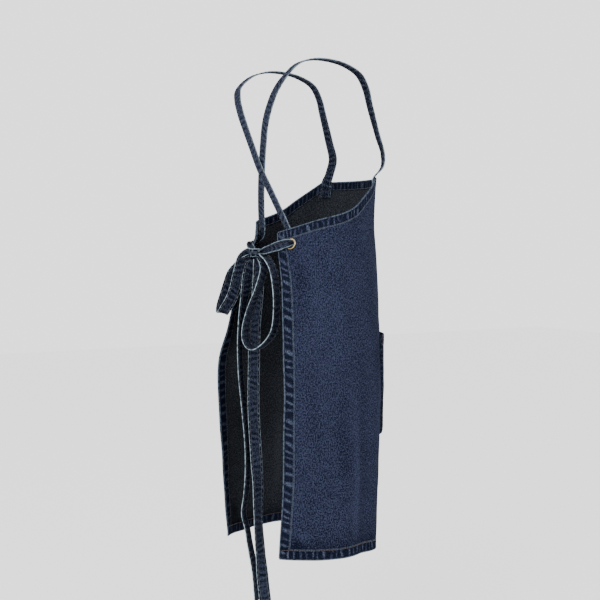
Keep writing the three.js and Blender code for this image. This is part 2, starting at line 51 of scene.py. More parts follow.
FRONT_DEPTH = 0.172
CLOTH = 0.0016
FOLD_DEPTH = 0.005
FOLD_GROWTH = 12
HEM_WIDTH = 0.020
FACING_WIDTH = 0.018

# Plan at eight levels: share of the drop, then half width, front, shift, turn (degrees) and bend
SECTIONS = np.array([
    (0.00, 0.91, 0.92, -0.02, 68, 0.40),
    (0.15, 0.90, 0.85, -0.035, 66, 0.40),
    (0.28, 0.99, 0.90, 0.00, 52, 0.50),
    (0.42, 0.98, 1.00, 0.02, 36, 0.70),
    (0.53, 0.94, 1.04, 0.025, 13, 0.90),
    (0.62, 0.94, 1.04, 0.025, 14, 0.90),
    (0.80, 0.99, 0.985, 0.03, 34, 0.95),
    (1.00, 0.965, 0.96, 0.03, 50, 1.00),
])
# Armhole edge: share of the way from the bib corner to the back corner, share of its drop
ARMHOLE = np.array([(0, 0), (0.06, 0.10), (0.20, 0.34), (0.32, 0.55), (0.44, 0.67), (0.60, 0.77), (1, 1)])
# Hem: share of the half width, share of the sway
HEM_LINE = np.array([(-1, 0), (-0.55, 0.10), (-0.25, 0.55), (0.05, 0.80), (0.50, 0.15), (0.78, 0.60), (1, 0.40)])
# Long soft folds: place across, spread, depth, level at which a fold is half grown
FOLDS = [
    (-0.87, 0.07, -0.5, 0.75), (-0.66, 0.06, 0.6, 0.70), (-0.50, 0.05, -0.7, 0.65), (-0.36, 0.06, 0.9, 0.55),
    (0.02, 0.07, -0.4, 0.90), (0.33, 0.06, 0.8, 0.60), (0.52, 0.06, -0.7, 0.62), (0.72, 0.06, 0.8, 0.66),
]


def eased(share):
    """A share from 0 to 1, slow at both ends."""
    return share * share * (3 - 2 * share)


def column(rows, index, at):
    """Smooth value of one column of a table at places on its first column."""
    places, values = rows[:, 0], rows[:, index]
    at = np.asarray(at, float)
    last = len(places) - 1
    before, after = np.maximum(np.arange(last + 1) - 1, 0), np.minimum(np.arange(last + 1) + 1, last)
    slope = (values[after] - values[before]) / (places[after] - places[before])
    k = np.clip(np.searchsorted(places, at, side="left") - 1, 0, last - 1)
    span = places[k + 1] - places[k]
    t = np.clip((at - places[k]) / span, 0, 1)
    rise = eased(t)
    return (values[k] * (1 - rise) + values[k + 1] * rise
            + span * (slope[k] * t * (1 - t) ** 2 - slope[k + 1] * t * t * (1 - t)))


def top_edge(across):
    beyond = (np.abs(across) - BIB_HALF_WIDTH) / (HALF_WIDTH - BIB_HALF_WIDTH)
    return np.where(beyond <= 0, BIB_TOP, BIB_TOP - ARMHOLE_DROP * column(ARMHOLE, 1, beyond))


def hem_edge(across):
    return BIB_TOP - BODY_DROP - HEM_SWAY * column(HEM_LINE, 1, np.asarray(across) / HALF_WIDTH)


def cloth_point(across, height, out):
    """Place on the hanging cloth, out metres outside its middle."""
    across, height, out = np.broadcast_arrays(*(np.asarray(v, float) for v in (across, height, out)))
    level = np.clip((BIB_TOP - height) / BODY_DROP, 0, 1.05)
    half = HIP_HALF_WIDTH * column(SECTIONS, 1, level)
    front = FRONT_DEPTH * column(SECTIONS, 2, level)
    shift = FRONT_DEPTH * column(SECTIONS, 3, level)
    quarter = math.pi / 2 * np.sqrt((half ** 2 + front ** 2) / 2)
    along = np.abs(across)
    off = out.copy()
    for place, spread, depth, start in FOLDS:
        grown = 1 / (1 + np.exp((start - level) * FOLD_GROWTH))
        off = off + FOLD_DEPTH * depth * grown * np.exp(-((across / HALF_WIDTH - place) / spread) ** 2)
    angle = np.minimum(along / quarter, 1) * math.pi / 2
    normal_x, normal_y = np.sin(angle) / half, -np.cos(angle) / front
    size = np.hypot(normal_x, normal_y)
    turn = np.radians(column(SECTIONS, 4, level))
    bend = (HALF_WIDTH - quarter) * column(SECTIONS, 5, level)
    radius = bend / turn
    wrap = np.clip((along - quarter) / radius, 0, turn)
    straight = np.maximum(along - quarter - bend, 0)
    behind = along > quarter
    x = np.where(behind, half - radius + (radius + off) * np.cos(wrap) - straight * np.sin(turn),
                 half * np.sin(angle) + off * normal_x / size)
    y = np.where(behind, shift + (radius + off) * np.sin(wrap) + straight * np.cos(turn),
                 shift - front * np.cos(angle) + off * normal_y / size)
    return np.stack([np.where(across < 0, -x, x), y, height], axis=-1)


# Each grommet sits on a flat place just inside the side hem and below the armhole band
FLANGE_RADIUS = 0.0123
SEAT_SIZE = 2 * (FLANGE_RADIUS + 0.001)


def armhole_slope(across):
    reach = 0.004
    return (top_edge(np.abs(across) + reach) - top_edge(np.abs(across) - reach)) / (2 * reach)


def band_foot(across):
    return top_edge(across) - FACING_WIDTH * np.sqrt(1 + armhole_slope(across) ** 2)


def grommet_seat(side):
    outside = HALF_WIDTH - HEM_WIDTH
    inside = outside - SEAT_SIZE
    share = SEAT_SIZE / (band_foot(outside) - hem_edge(outside) - HEM_WIDTH)
    corners = []
    for across, down in ((inside, 0), (outside, 0), (outside, share), (inside, share)):
        height = band_foot(side * across) * (1 - down) + (hem_edge(side * across) + HEM_WIDTH) * down
        corners.append(cloth_point(side * across, height, 0))
    corners = np.array(corners)
    normal = np.cross(corners[2] - corners[0], corners[3] - corners[1])
    normal *= np.sign(normal[1]) / np.linalg.norm(normal)
    return corners.mean(axis=0), normal


SEATS = {side: grommet_seat(side) for side in (-1, 1)}

# Roping: the ladder of puckers that washing raises along a stitched hem
SIDE_PITCH, ARMHOLE_PITCH, HEM_PITCH = 0.0165, 0.0112, 0.0130
ROPE_DEPTH = 0.00055
armhole_places = np.linspace(0, HALF_WIDTH, 391)
armhole_steps = np.hypot(np.diff(armhole_places), np.diff(top_edge(armhole_places)))
armhole_run = np.concatenate([[0], np.cumsum(armhole_steps)])


def rope(run, inward, pitch, phase):
    """Height, from -1 to 1, of the puckers at a run along a hem and a share of its width from the edge."""
    turns = run / pitch
    uneven = turns + 0.13 * np.sin(1.7 * turns + phase) + 0.20 * np.sin(0.61 * turns + 2 * phase)
    slant = 0.10 + 0.22 * np.sin(2.3 * turns + phase) + 0.12 * np.sin(0.9 * turns)
    strength = 0.86 + 0.14 * np.sin(1.31 * turns + 3 * phase)
    wave = strength * np.sin(2 * math.pi * (uneven + slant * inward)) + 0.12 * np.sin(3.1 * turns + 4 * inward)
    inside = np.sin(math.pi * np.clip(inward, 0, 1)) ** 0.6
    drag = 0.35 * np.exp(-np.maximum(inward - 1, 0) / 0.25) * (inward > 1)
    return wave * np.where(inward <= 1, inside, drag)


def hem_marks(across, height):
    """How far in from the nearest finished edge a place lies, as a share of that hem's width, and its roping."""
    across, height = np.broadcast_arrays(across, height)
    slope = np.sqrt(1 + armhole_slope(across) ** 2)
    inward = np.stack([(HALF_WIDTH - np.abs(across)) / HEM_WIDTH,
                       (top_edge(across) - height) / slope / FACING_WIDTH,
                       (height - hem_edge(across)) / HEM_WIDTH])
    ropes = np.stack([
        rope(height + 0.3 * across, inward[0], SIDE_PITCH, 0.7),
        rope(np.interp(np.abs(across), armhole_places, armhole_run), inward[1], ARMHOLE_PITCH, 2.1),
        rope(across, inward[2], HEM_PITCH, 4.4)])
    nearest = np.argmin(inward, axis=0)
    pick = lambda rows: np.take_along_axis(rows, nearest[None], axis=0)[0]
    return pick(inward), pick(ropes)


# The bib is pushed forward a little above the waist
BULGE, BULGE_REACH, BULGE_LEVEL, BULGE_RISE = 0.0065, 0.150, -0.440, 0.085
# Lighter and darker places: across, height, reach across, reach up and down, strength. The light
# streaks at across ±0.226 are painted highlights down soft folds.
TONE_PATCHES_AND_PAINTED_HIGHLIGHTS = [
    (-0.226, -0.86, 0.010, 0.130, 0.40), (-0.262, -0.80, 0.012, 0.120, -0.16),
    (-0.345, -0.966, 0.012, 0.008, 0.55),
    (-0.357, -0.985, 0.012, 0.018, -0.60), (-0.330, -0.72, 0.016, 0.060, -0.18),
    (-0.150, -0.60, 0.020, 0.080, -0.22),
    (-0.290, -0.50, 0.040, 0.050, 0.16), (-0.345, -0.45, 0.016, 0.030, -0.22), (0.226, -0.84, 0.010, 0.110, 0.36),
    (0.262, -0.78, 0.012, 0.120, -0.16), (0.350, -0.975, 0.012, 0.016, -0.50), (0.335, -0.60, 0.016, 0.090, 0.20),
    (0.000, -0.42, 0.070, 0.060, 0.12), (0.030, -0.88, 0.060, 0.050, 0.22), (-0.070, -0.90, 0.030, 0.060, -0.14),
    (0.120, -0.86, 0.016, 0.090, 0.22), (0.180, -0.50, 0.030, 0.070, 0.12), (-0.180, -0.48, 0.030, 0.070, -0.10),
]
HEM_DARKENING, HEM_SHADE = 0.60, 0.24


def tone_and_painted_highlight_marks(across, height):
    """How much lighter or darker a place is: darker along the bottom hem, the listed patches, and painted
    highlights down soft folds.
    """
    above = (height - hem_edge(across)) / HEM_WIDTH
    marks = np.where(above > 0.9, -HEM_DARKENING * np.exp(-np.clip(above - 1, 0, None) / 0.9), -HEM_SHADE)
    for place, level, reach, rise, strength in TONE_PATCHES_AND_PAINTED_HIGHLIGHTS:
        marks = marks + strength * np.exp(-((across - place) / reach) ** 2 - ((height - level) / rise) ** 2)
    return marks


# Drags that the pull of the strap raises round a grommet, and the flat place pressed under it
DRAG_DEPTH, DRAG_START, DRAG_REACH, CALM_REACH = 0.0009, 0.004, 0.020, 0.030
SEAT_HOLD, SEAT_EASE = 0.024, 0.010


def lie(across, height):
    """Small unevenness of the worn cloth, as a distance out."""
    wavy = (0.0007 * np.sin(29 * across + 11 * height + 0.8) + 0.0005 * np.sin(-41 * across + 23 * height)
            + 0.0004 * np.sin(67 * across + 35 * height + 2.0) + 0.0003 * np.sin(-96 * across + 71 * height + 1.1))
    wavy = wavy + BULGE * np.exp(-(across / BULGE_REACH) ** 4 - ((height - BULGE_LEVEL) / BULGE_RISE) ** 2)
    drag = 0
    for side in (-1, 1):
        dx = across - side * (HALF_WIDTH - HEM_WIDTH - SEAT_SIZE / 2)
        dz = height - SEATS[side][0][2]
        away = np.hypot(dx, dz)
        bearing = np.arctan2(dz, dx * side)
        beyond = away - FLANGE_RADIUS
        pull = np.clip(beyond / DRAG_START, 0, 1) * np.exp(-np.maximum(beyond, 0) / DRAG_REACH)
        drag = drag + DRAG_DEPTH * pull * np.cos(9 * bearing + 1.0)
        wavy = wavy * (1 - np.exp(-(away / CALM_REACH) ** 2))
    return wavy + drag


def dressed(across, height, out):
    """The cloth with its unevenness and roping, flattened where a grommet sits."""
    _, roping = hem_marks(across, height)
    place = cloth_point(across, height, out + lie(across, height) + ROPE_DEPTH * roping)
    for side, (centre, normal) in SEATS.items():
        away = np.linalg.norm(place - centre, axis=-1)
        hold = eased(np.clip((SEAT_HOLD - away) / SEAT_EASE, 0, 1))
        height_off = (place - centre) @ normal - out
        place = place - (hold * height_off)[..., None] * normal
    return place


def spaced(start, end, fine, coarse, reach):
    """Places from start to end, closely set within reach of both ends."""
    edge = np.arange(0, reach, fine)
    middle = np.linspace(start + reach, end - reach, int(round((end - start - 2 * reach) / coarse)) + 1)
    return np.concatenate([start + edge, middle, (end - edge)[::-1]])


def clear_selection():
    bpy.ops.object.select_all(action="DESELECT")


def take(*pieces):
    """Selects these pieces alone, the last one active."""
    clear_selection()
    for piece in pieces:
        piece.select_set(True)
    bpy.context.view_layer.objects.active = pieces[-1]


def unit(rows):
    return rows / np.linalg.norm(rows, axis=1, keepdims=True)


def mark(mesh, key, values):
    """A number on each point of a mesh, for its material to read."""
    values = np.asarray(values, dtype=np.float32).ravel()
    mesh.attributes.new(key, "FLOAT", "POINT").data.foreach_set("value", values)


def new_piece(name, points, faces, uv=None, marks=None, smooth=True):
    """A mesh object from points and faces, with a cloth map in metres and float marks on its points."""
    mesh = bpy.data.meshes.new(name)
    mesh.from_pydata(np.asarray(points).reshape(-1, 3).tolist(), [], faces)
    if uv is not None:
        layer = mesh.uv_layers.new(name="cloth")
        index = np.empty(len(mesh.loops), dtype=np.int32)
        mesh.loops.foreach_get("vertex_index", index)
        layer.data.foreach_set("uv", np.asarray(uv, dtype=np.float32).reshape(-1, 2)[index].ravel())
    for key, values in (marks or {}).items():
        mark(mesh, key, values)
    mesh.polygons.foreach_set("use_smooth", [smooth] * len(mesh.polygons))
    mesh.update()
    piece = bpy.data.objects.new(name, mesh)
    bpy.context.collection.objects.link(piece)
    return piece


def grid_faces(rows, columns):
    """Faces of a grid whose rows run down and whose columns run to the wearer's left, facing out."""
    cell = np.arange((rows - 1) * columns).reshape(rows - 1, columns)[:, :-1].ravel()
    return np.stack([cell, cell + columns, cell + columns + 1, cell + 1], axis=-1).tolist()


def finish_with(piece, kind, **settings):
    """Adds a modifier to a piece and applies it."""
    take(piece)
    modifier = piece.modifiers.new(kind.title(), kind)
    for key, value in settings.items():
        setattr(modifier, key, value)
    bpy.ops.object.modifier_apply(modifier=modifier.name)
    piece.select_set(False)


# Where the cloth is cut back so that the turned hem can fold over its edge
TURN_ROOM = 0.0012
# Mesh steps near an edge and elsewhere, and how far in the fine ones go: in metres, then in shares
COLUMN_STEPS, ROW_STEPS = (0.0020, 0.0040, 0.024), (0.0027, 0.0054, 0.034)
body_columns = spaced(-HALF_WIDTH + TURN_ROOM, HALF_WIDTH - TURN_ROOM, *COLUMN_STEPS)
body_rows = spaced(0, 1, *ROW_STEPS)
across = np.broadcast_to(body_columns, (len(body_rows), len(body_columns)))
upper, lower = top_edge(across) - TURN_ROOM, hem_edge(across) + TURN_ROOM
height = upper + (lower - upper) * body_rows[:, None]
inward, roping = hem_marks(across, height)
apron_body = new_piece(
    "apron_panel_cloth", dressed(across, height, np.zeros_like(height)),
    grid_faces(*across.shape), uv=np.stack([across, height], -1),
    marks={"inward": inward, "roping": roping, "tone_and_painted_light": tone_and_painted_highlight_marks(across, height)})

# The hole for each grommet's barrel
BARREL_RADIUS = 0.0076
shell = bmesh.new()
shell.from_mesh(apron_body.data)
for centre, normal in SEATS.values():
    middle = Vector(centre)
    inner = [f for f in shell.faces if (f.calc_center_median() - middle).length < BARREL_RADIUS]
    bmesh.ops.delete(shell, geom=inner, context="FACES")
    for v in shell.verts:
        if v.is_boundary and (v.co - middle).length < 2 * BARREL_RADIUS:
            flat = v.co - middle
            flat -= flat.dot(Vector(normal)) * Vector(normal)
            v.co = middle + flat.normalized() * BARREL_RADIUS
shell.to_mesh(apron_body.data)
shell.free()


def new_finish(name):
    """A material, with a short way to add a node: sockets are values, or other nodes' outputs."""
    material = bpy.data.materials.new(name)
    material.use_nodes = True
    tree = material.node_tree

    def add(kind, sockets=None, **settings):
        node = tree.nodes.new("ShaderNode" + kind)
        for key, value in settings.items():
            setattr(node, key, value)
        for key, value in (sockets or {}).items():
            if isinstance(value, bpy.types.NodeSocket):
                tree.links.new(value, node.inputs[key])
            else:
                node.inputs[key].default_value = value
        return node

    def maths(operation, *values):
        return add("Math", dict(enumerate(values)), operation=operation).outputs[0]

    return material, tree.nodes["Principled BSDF"], tree, add, maths


def read(add, key):
    return add("Attribute", attribute_name=key).outputs["Fac"]


def colour_mix(add, share, first, second):
    return add("Mix", {0: share, 6: first, 7: second}, data_type="RGBA").outputs[2]


def stepped(add, value, low, high, to_low=0.0, to_high=1.0):
    """Smooth rise from to_low to to_high as a value goes from low to high."""
    limits = {"From Min": low, "From Max": high, "To Min": to_low, "To Max": to_high}
    return add("MapRange", {"Value": value, **limits}, interpolation_type="SMOOTHSTEP").outputs[0]


SPECK_LIGHT = 1.34
RIB_PITCH, RIB_SLANT = 1.3, 0.55  # millimetres along the weft, and sideways for each millimetre up


def denim(name, deep, face, worn, contrast=1.0, hem_wear=1.0, edge_wear=0.85, edge_reach=0.09):
    """Washed twill: ribs, uneven yarns, clouded wash, and pale wear where "inward" and "roping" say."""
    material, surface, tree, add, maths = new_finish(name)
    times, plus = (lambda a, b: maths("MULTIPLY", a, b)), (lambda a, b: maths("ADD", a, b))
    uv = add("UVMap", uv_map="cloth").outputs[0]
    mm = add("VectorMath", {0: uv, 3: 1000.0}, operation="SCALE").outputs[0]
    parts = add("SeparateXYZ", {0: mm}).outputs
    slanted = plus(parts[0], times(parts[1], RIB_SLANT))
    ribs = maths("SINE", times(slanted, 2 * math.pi / RIB_PITCH))

    def cloud(size_x, size_y, detail, roughness=0.5):
        place = add("VectorMath", {0: mm, 1: (1 / size_x, 1 / size_y, 1)}, operation="MULTIPLY").outputs[0]
        return add("TexNoise", {"Vector": place, "Scale": 1.0, "Detail": detail, "Roughness": roughness},
                   noise_dimensions="2D").outputs[0]

    yarn, grain, fleck = cloud(0.8, 12.0, 2), cloud(2.3, 3.3, 4, 0.8), cloud(1.2, 2.6, 2, 0.75)
    wash, fade = cloud(38.0, 60.0, 3), cloud(150.0, 260.0, 2)
    tone = 0.5
    for layer, strength in ((yarn, 2.2 * contrast), (grain, 7.4 * contrast), (fleck, 3.0 * contrast),
                            (wash, 0.40), (fade, 0.5)):
        tone = plus(tone, times(maths("SUBTRACT", layer, 0.5), strength))
    tone = plus(tone, times(ribs, 0.16))
    # Marks on the points: lighter and darker tone and wear, with painted highlights and painted shade on some
    # pieces
    tone = plus(tone, read(add, "tone_and_painted_light"))
    ramp = add("ValToRGB", {0: tone})
    stops = ramp.color_ramp.elements
    stops.new(0.5)
    middle = [(a + b) / 2 for a, b in zip(deep, face)]
    for stop, place, colour in zip(stops, (0.03, 0.5, 1.0), (deep, middle, [c * SPECK_LIGHT for c in face])):
        stop.position, stop.color = place, (*colour, 1)
    cloth = ramp.outputs[0]

    # Along a hem: dark valleys and rubbed rungs of the roping, pale lines on the fold and the seam
    inward, roping = read(add, "inward"), read(add, "roping")
    inside = stepped(add, inward, 1.25, 0.95)
    valley = times(inside, stepped(add, roping, 0.35, -0.10))
    cloth = colour_mix(add, times(valley, 0.72 * hem_wear), cloth, (*[c * 0.8 for c in deep], 1))
    broken = stepped(add, cloud(2.2, 3.0, 3, 0.7), 0.34, 0.68)
    rung = times(times(inside, stepped(add, roping, 0.30, 0.85)), broken)
    rung = times(rung, 0.46)
    fold_line = stepped(add, maths("ABSOLUTE", inward), edge_reach, edge_reach * 0.35)
    seam_line = stepped(add, maths("ABSOLUTE", maths("SUBTRACT", inward, 1.03)), 0.085, 0.0)
    lines = maths("MAXIMUM", times(fold_line, edge_wear), times(seam_line, 0.36))
    lines = times(lines, stepped(add, cloud(3.0, 7.0, 2), 0.30, 0.60, 0.25, 1.0))
    wear = times(maths("MAXIMUM", rung, lines), hem_wear)
    cloth = colour_mix(add, wear, cloth, (*worn, 1))
    tree.links.new(cloth, surface.inputs["Base Color"])
    surface.inputs["Specular IOR Level"].default_value = 0.01
    rough = plus(0.86, times(grain, 0.12))
    tree.links.new(rough, surface.inputs["Roughness"])
    relief = plus(times(ribs, 0.5), plus(yarn, times(grain, 1.2)))
    bump = add("Bump", {"Height": relief, "Strength": 0.55, "Distance": 0.00025})
    tree.links.new(bump.outputs[0], surface.inputs["Normal"])
    return material


def dyed(colour, share):
    """A colour brought down to a share of its strength."""
    return tuple(c * share for c in colour)


INDIGO_DEEP, INDIGO_FACE = (0.0015, 0.0027, 0.0078), (0.0231, 0.0272, 0.0522)
INDIGO_WORN = (0.120, 0.155, 0.210)
CHARCOAL_DEEP, CHARCOAL_FACE = (0.0040, 0.0047, 0.0064), (0.0222, 0.0246, 0.0302)
body_outside = denim("washed_indigo_denim", INDIGO_DEEP, INDIGO_FACE, INDIGO_WORN)
body_inside = denim("denim_inner_face", CHARCOAL_DEEP, CHARCOAL_FACE, CHARCOAL_FACE, contrast=0.7,
                    hem_wear=0.0)
apron_body.data.materials.append(body_outside)
apron_body.data.materials.append(body_inside)
finish_with(apron_body, "SOLIDIFY", thickness=CLOTH, offset=0, use_rim=True, material_offset=1,
            material_offset_rim=0)
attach(apron_body, "root")
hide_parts("apron_panel")

# ------------------------------------------------------------------ turned hems
# The cloth's own edge, folded over to the inside and stitched down, so its outer face shows
# there. The bottom and side hems are 20 mm wide, the bands along the bib and armholes 18 mm.
TURNING = 0.0013
BAND_OUT = -CLOTH / 2 - 0.0003 - TURNING / 2
# Section of a turned hem: share of its width from the fold, then distance outside the cloth
TURN_SECTION = np.array(
    [(1.0, BAND_OUT)] + [(share, BAND_OUT - 0.0003) for share in (0.97, 0.85, 0.7, 0.55, 0.4, 0.25, 0.14)]
    + [(0.07, BAND_OUT - 0.0001), (0.02, BAND_OUT + 0.0001), (-0.03, BAND_OUT + 0.0006), (-0.06, -0.0003),
       (-0.04, 0.0003), (0.01, 0.0006), (0.07, 0.0006)])


def hem_place(kind, run, inward, out):
    """Place on a hem: its kind, the run along it, the distance in from its fold, and the distance out."""
    if kind == "bottom":
        across, height = run, hem_edge(run) + inward
    elif kind == "top":
        across, height = run, top_edge(run) - inward * np.sqrt(1 + armhole_slope(run) ** 2)
    else:
        across, height = kind * (HALF_WIDTH - inward), run
    _, roping = hem_marks(across, height)
    return dressed(across, height, out), roping, across, height


def turned_hem(name, kind, runs, width):
    run, share = np.broadcast_arrays(runs[:, None], TURN_SECTION[None, :, 0])
    out = np.broadcast_to(TURN_SECTION[None, :, 1], run.shape)
    place, roping, across, height = hem_place(kind, run, share * width, out)
    faces = grid_faces(*run.shape)
    middle = len(TURN_SECTION) // 2
    flat = place.reshape(-1, 3)
    a, b, c = (flat[faces[middle][k]] for k in (0, 1, 2))
    towards_body = np.cross(b - a, c - b) @ (place[0, 3] - cloth_point(across[0, 3], height[0, 3], 0))
    if towards_body < 0:
        faces = [f[::-1] for f in faces]
    hem = new_piece(name, flat, faces, uv=np.stack([across, height], -1),
                    marks={"inward": share, "roping": roping})
    finish_with(hem, "SOLIDIFY", thickness=TURNING, offset=0, use_rim=True)
    hem.data.materials.append(hem_denim)
    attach(hem, "root")
    return hem


hem_denim = denim("turned_hem_denim", dyed(INDIGO_DEEP, 0.75), dyed(INDIGO_FACE, 0.55), dyed(INDIGO_WORN, 0.55),
                  contrast=0.8)
hem_bottom = turned_hem("hem_bottom_turned", "bottom", np.linspace(-HALF_WIDTH, HALF_WIDTH, 261), HEM_WIDTH)
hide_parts("hem_bottom")
hem_bib = turned_hem("hem_bib_turned", "top", np.linspace(-BIB_HALF_WIDTH, BIB_HALF_WIDTH, 81), FACING_WIDTH)
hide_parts("hem_bib")
hems = [hem_bottom, hem_bib]
for side, word in ((-1, "right"), (1, "left")):
    runs = side * np.linspace(BIB_HALF_WIDTH, HALF_WIDTH, 131)
    facing = turned_hem(f"facing_arm_{word}_turned", "top", runs, FACING_WIDTH)
    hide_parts(f"facing_arm_{word}")
    edge = side * HALF_WIDTH
    runs = np.linspace(top_edge(edge) - 0.001, hem_edge(edge) + 0.001, 261)
    hem = turned_hem(f"hem_side_{word}_turned", side, runs, HEM_WIDTH)
    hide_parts(f"hem_side_{word}")
    hems += [facing, hem]

# ------------------------------------------------------------------ topstitching
# Each hem is held by one row of thread near its inner edge: rust brown along the bottom hem,
# faded blue-grey elsewhere. The thread lies as short raised stitches on both faces.
STITCH_PITCH, STITCH_LENGTH, THREAD, THREAD_SIDES = 0.0034, 0.0026, 0.00042, 5
SEAM_PLACE = 0.93


def thread_finish(name, colour, shade):
    material, surface, tree, add, maths = new_finish(name)
    place = add("TexCoord").outputs["Object"]
    worn = add("TexNoise", {"Vector": place, "Scale": 700.0, "Detail": 2.0}).outputs[0]
    tree.links.new(colour_mix(add, worn, (*shade, 1), (*colour, 1)), surface.inputs["Base Color"])
    ply = add("TexWave", {"Vector": place, "Scale": 900.0, "Distortion": 1.0}, bands_direction="DIAGONAL")
    bump = add("Bump", {"Height": ply.outputs[1], "Strength": 0.4, "Distance": 0.0001})
    tree.links.new(bump.outputs[0], surface.inputs["Normal"])
    surface.inputs["Roughness"].default_value = 0.7
    surface.inputs["Sheen Weight"].default_value = 0.2
    return material


def stitches(name, lines, finish):
    """Short raised stitches along lines, each given as its points and the direction away from the cloth."""
    points, faces = [], []
    for line, away in lines:
        steps = np.linalg.norm(np.diff(line, axis=0), axis=1)
        run = np.concatenate([[0], np.cumsum(steps)])
        starts = np.arange(STITCH_PITCH / 2, run[-1] - STITCH_PITCH, STITCH_PITCH)
        for start in starts:
            along = start + np.array([0, 0.25, 0.75, 1]) * STITCH_LENGTH
            spine = np.stack([np.interp(along, run, line[:, k]) for k in range(3)], -1)
            up = np.stack([np.interp(along, run, away[:, k]) for k in range(3)], -1)
            up = unit(up)
            forward = spine[-1] - spine[0]
            aside = np.cross(forward, up[0])
            aside /= np.linalg.norm(aside)
            first, sides = len(points), range(THREAD_SIDES)
            for k, (thick, lift) in enumerate(((0.45, -0.5), (1.0, 0.35), (1.0, 0.35), (0.45, -0.5))):
                centre = spine[k] + up[k] * lift * THREAD
                for turn in sides:
                    angle = 2 * math.pi * turn / THREAD_SIDES
                    round_it = math.cos(angle) * aside * 1.15 + math.sin(angle) * up[k]
                    points.append(centre + THREAD * thick * round_it)
            for k in range(3):
                for turn in sides:
                    a = first + THREAD_SIDES * k + turn
                    b = first + THREAD_SIDES * k + (turn + 1) % THREAD_SIDES
                    faces.append([a, a + THREAD_SIDES, b + THREAD_SIDES, b])
            faces.append([first + k for k in sides])
            faces.append([first + 3 * THREAD_SIDES + k for k in sides[::-1]])
    row = new_piece(name, np.array(points), faces)
    row.data.materials.append(finish)
    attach(row, "root")
    return row


def seam_line(kind, runs, width, out):
    place, *_ = hem_place(kind, runs, SEAM_PLACE * width, out)
    beyond, *_ = hem_place(kind, runs, SEAM_PLACE * width, out * 1.5)
    return place, unit(beyond - place)


rust_thread = thread_finish("rust_brown_thread", (0.075, 0.030, 0.014), (0.030, 0.014, 0.009))
grey_thread = thread_finish("faded_blue_thread", (0.035, 0.048, 0.070), (0.012, 0.017, 0.028))
OUTSIDE, INSIDE = CLOTH / 2, BAND_OUT - TURNING / 2 - 0.0003
SEAM_START = 0.003
bottom_runs, top_runs = (np.linspace(-HALF_WIDTH + SEAM_START, HALF_WIDTH - SEAM_START, n) for n in (520, 620))
bottom_lines = [seam_line("bottom", bottom_runs, HEM_WIDTH, out) for out in (OUTSIDE, INSIDE)]
body_rows_of_thread = [stitches("topstitch_hem_bottom", bottom_lines, rust_thread)]
edge_lines = []
for out in (OUTSIDE, INSIDE):
    edge_lines.append(seam_line("top", top_runs, FACING_WIDTH, out))
    for side in (-1, 1):
        edge = side * HALF_WIDTH
        runs = np.linspace(top_edge(edge) - SEAM_START, hem_edge(edge) + SEAM_START, 420)
        edge_lines.append(seam_line(side, runs, HEM_WIDTH, out))
body_rows_of_thread.append(stitches("topstitch_edges", edge_lines, grey_thread))

# ------------------------------------------------------------------ pocket
# A denim patch with its edges turned under, sewn to the front on three sides. Use has pushed
# it out, most of all at the mouth, so its sides stand off the body as dark folds, their darkness
# partly painted shade: the patch's denim is dyed darker and little worn at its edges.
POCKET_WIDTH, POCKET_HEIGHT = 0.236, 0.212
POCKET_TOP = BIB_TOP - 0.330
POCKET_DEPTH, POCKET_GAPE, POCKET_FLOOR_GAPE, POCKET_WALL = 0.0064, 0.007, 0.25, 0.0013
POCKET_HEM, POCKET_TURN = 0.024, 0.010
MAP_OFFSET = (0.5, 0.3)
POCKET_EDGE = np.array([(0, 0.14), (0.0004, 0.35), (0.0011, 0.58), (0.0022, 0.78), (0.0038, 0.92), (0.0060, 1.0)])


def pocket_out(across, height):
    middle = np.clip(1 - (2 * across / POCKET_WIDTH) ** 2, 0, 1)
    mouth = np.clip(1 - (POCKET_TOP - height) / POCKET_HEIGHT, 0, 1)
    opened = POCKET_FLOOR_GAPE + (1 - POCKET_FLOOR_GAPE) * mouth ** 2
    from_edge = np.minimum(POCKET_WIDTH / 2 - np.abs(across), height - (POCKET_TOP - POCKET_HEIGHT))
    rise = np.interp(from_edge, POCKET_EDGE[:, 0], POCKET_EDGE[:, 1])
    wavy = 0.0004 * np.sin(90 * across + 60 * height) + 0.0003 * np.sin(-150 * across + 110 * height + 1)
    return (POCKET_DEPTH + wavy) * rise + POCKET_GAPE * middle * opened * np.clip(from_edge / 0.02, 0, 1)


edge_steps = POCKET_EDGE[:-1, 0]
pocket_columns = np.concatenate([
    -POCKET_WIDTH / 2 + edge_steps, np.linspace(-POCKET_WIDTH / 2 + 0.006, POCKET_WIDTH / 2 - 0.006, 76),
    (POCKET_WIDTH / 2 - edge_steps)[::-1]])
pocket_rows = np.concatenate([
    np.linspace(POCKET_TOP, POCKET_TOP - POCKET_HEIGHT + 0.006, 70),
    (POCKET_TOP - POCKET_HEIGHT + edge_steps)[::-1]])
across, height = np.meshgrid(pocket_columns, pocket_rows)
from_mouth = (POCKET_TOP - height) / POCKET_HEM
from_side = np.minimum(POCKET_WIDTH / 2 - np.abs(across), height - (POCKET_TOP - POCKET_HEIGHT)) / POCKET_TURN
mouth_rope, side_rope = rope(across, from_mouth, 0.012, 1.3), rope(height, from_side, 0.011, 0.4)
pocket_roping = np.where(from_mouth < from_side, mouth_rope, side_rope)
patch_pocket = new_piece(
    "patch_pocket", cloth_point(across, height, pocket_out(across, height) + 0.0003 * pocket_roping),
    grid_faces(*across.shape), uv=np.stack([across, height], -1) + MAP_OFFSET,
    marks={"inward": np.minimum(from_mouth, from_side), "roping": pocket_roping})
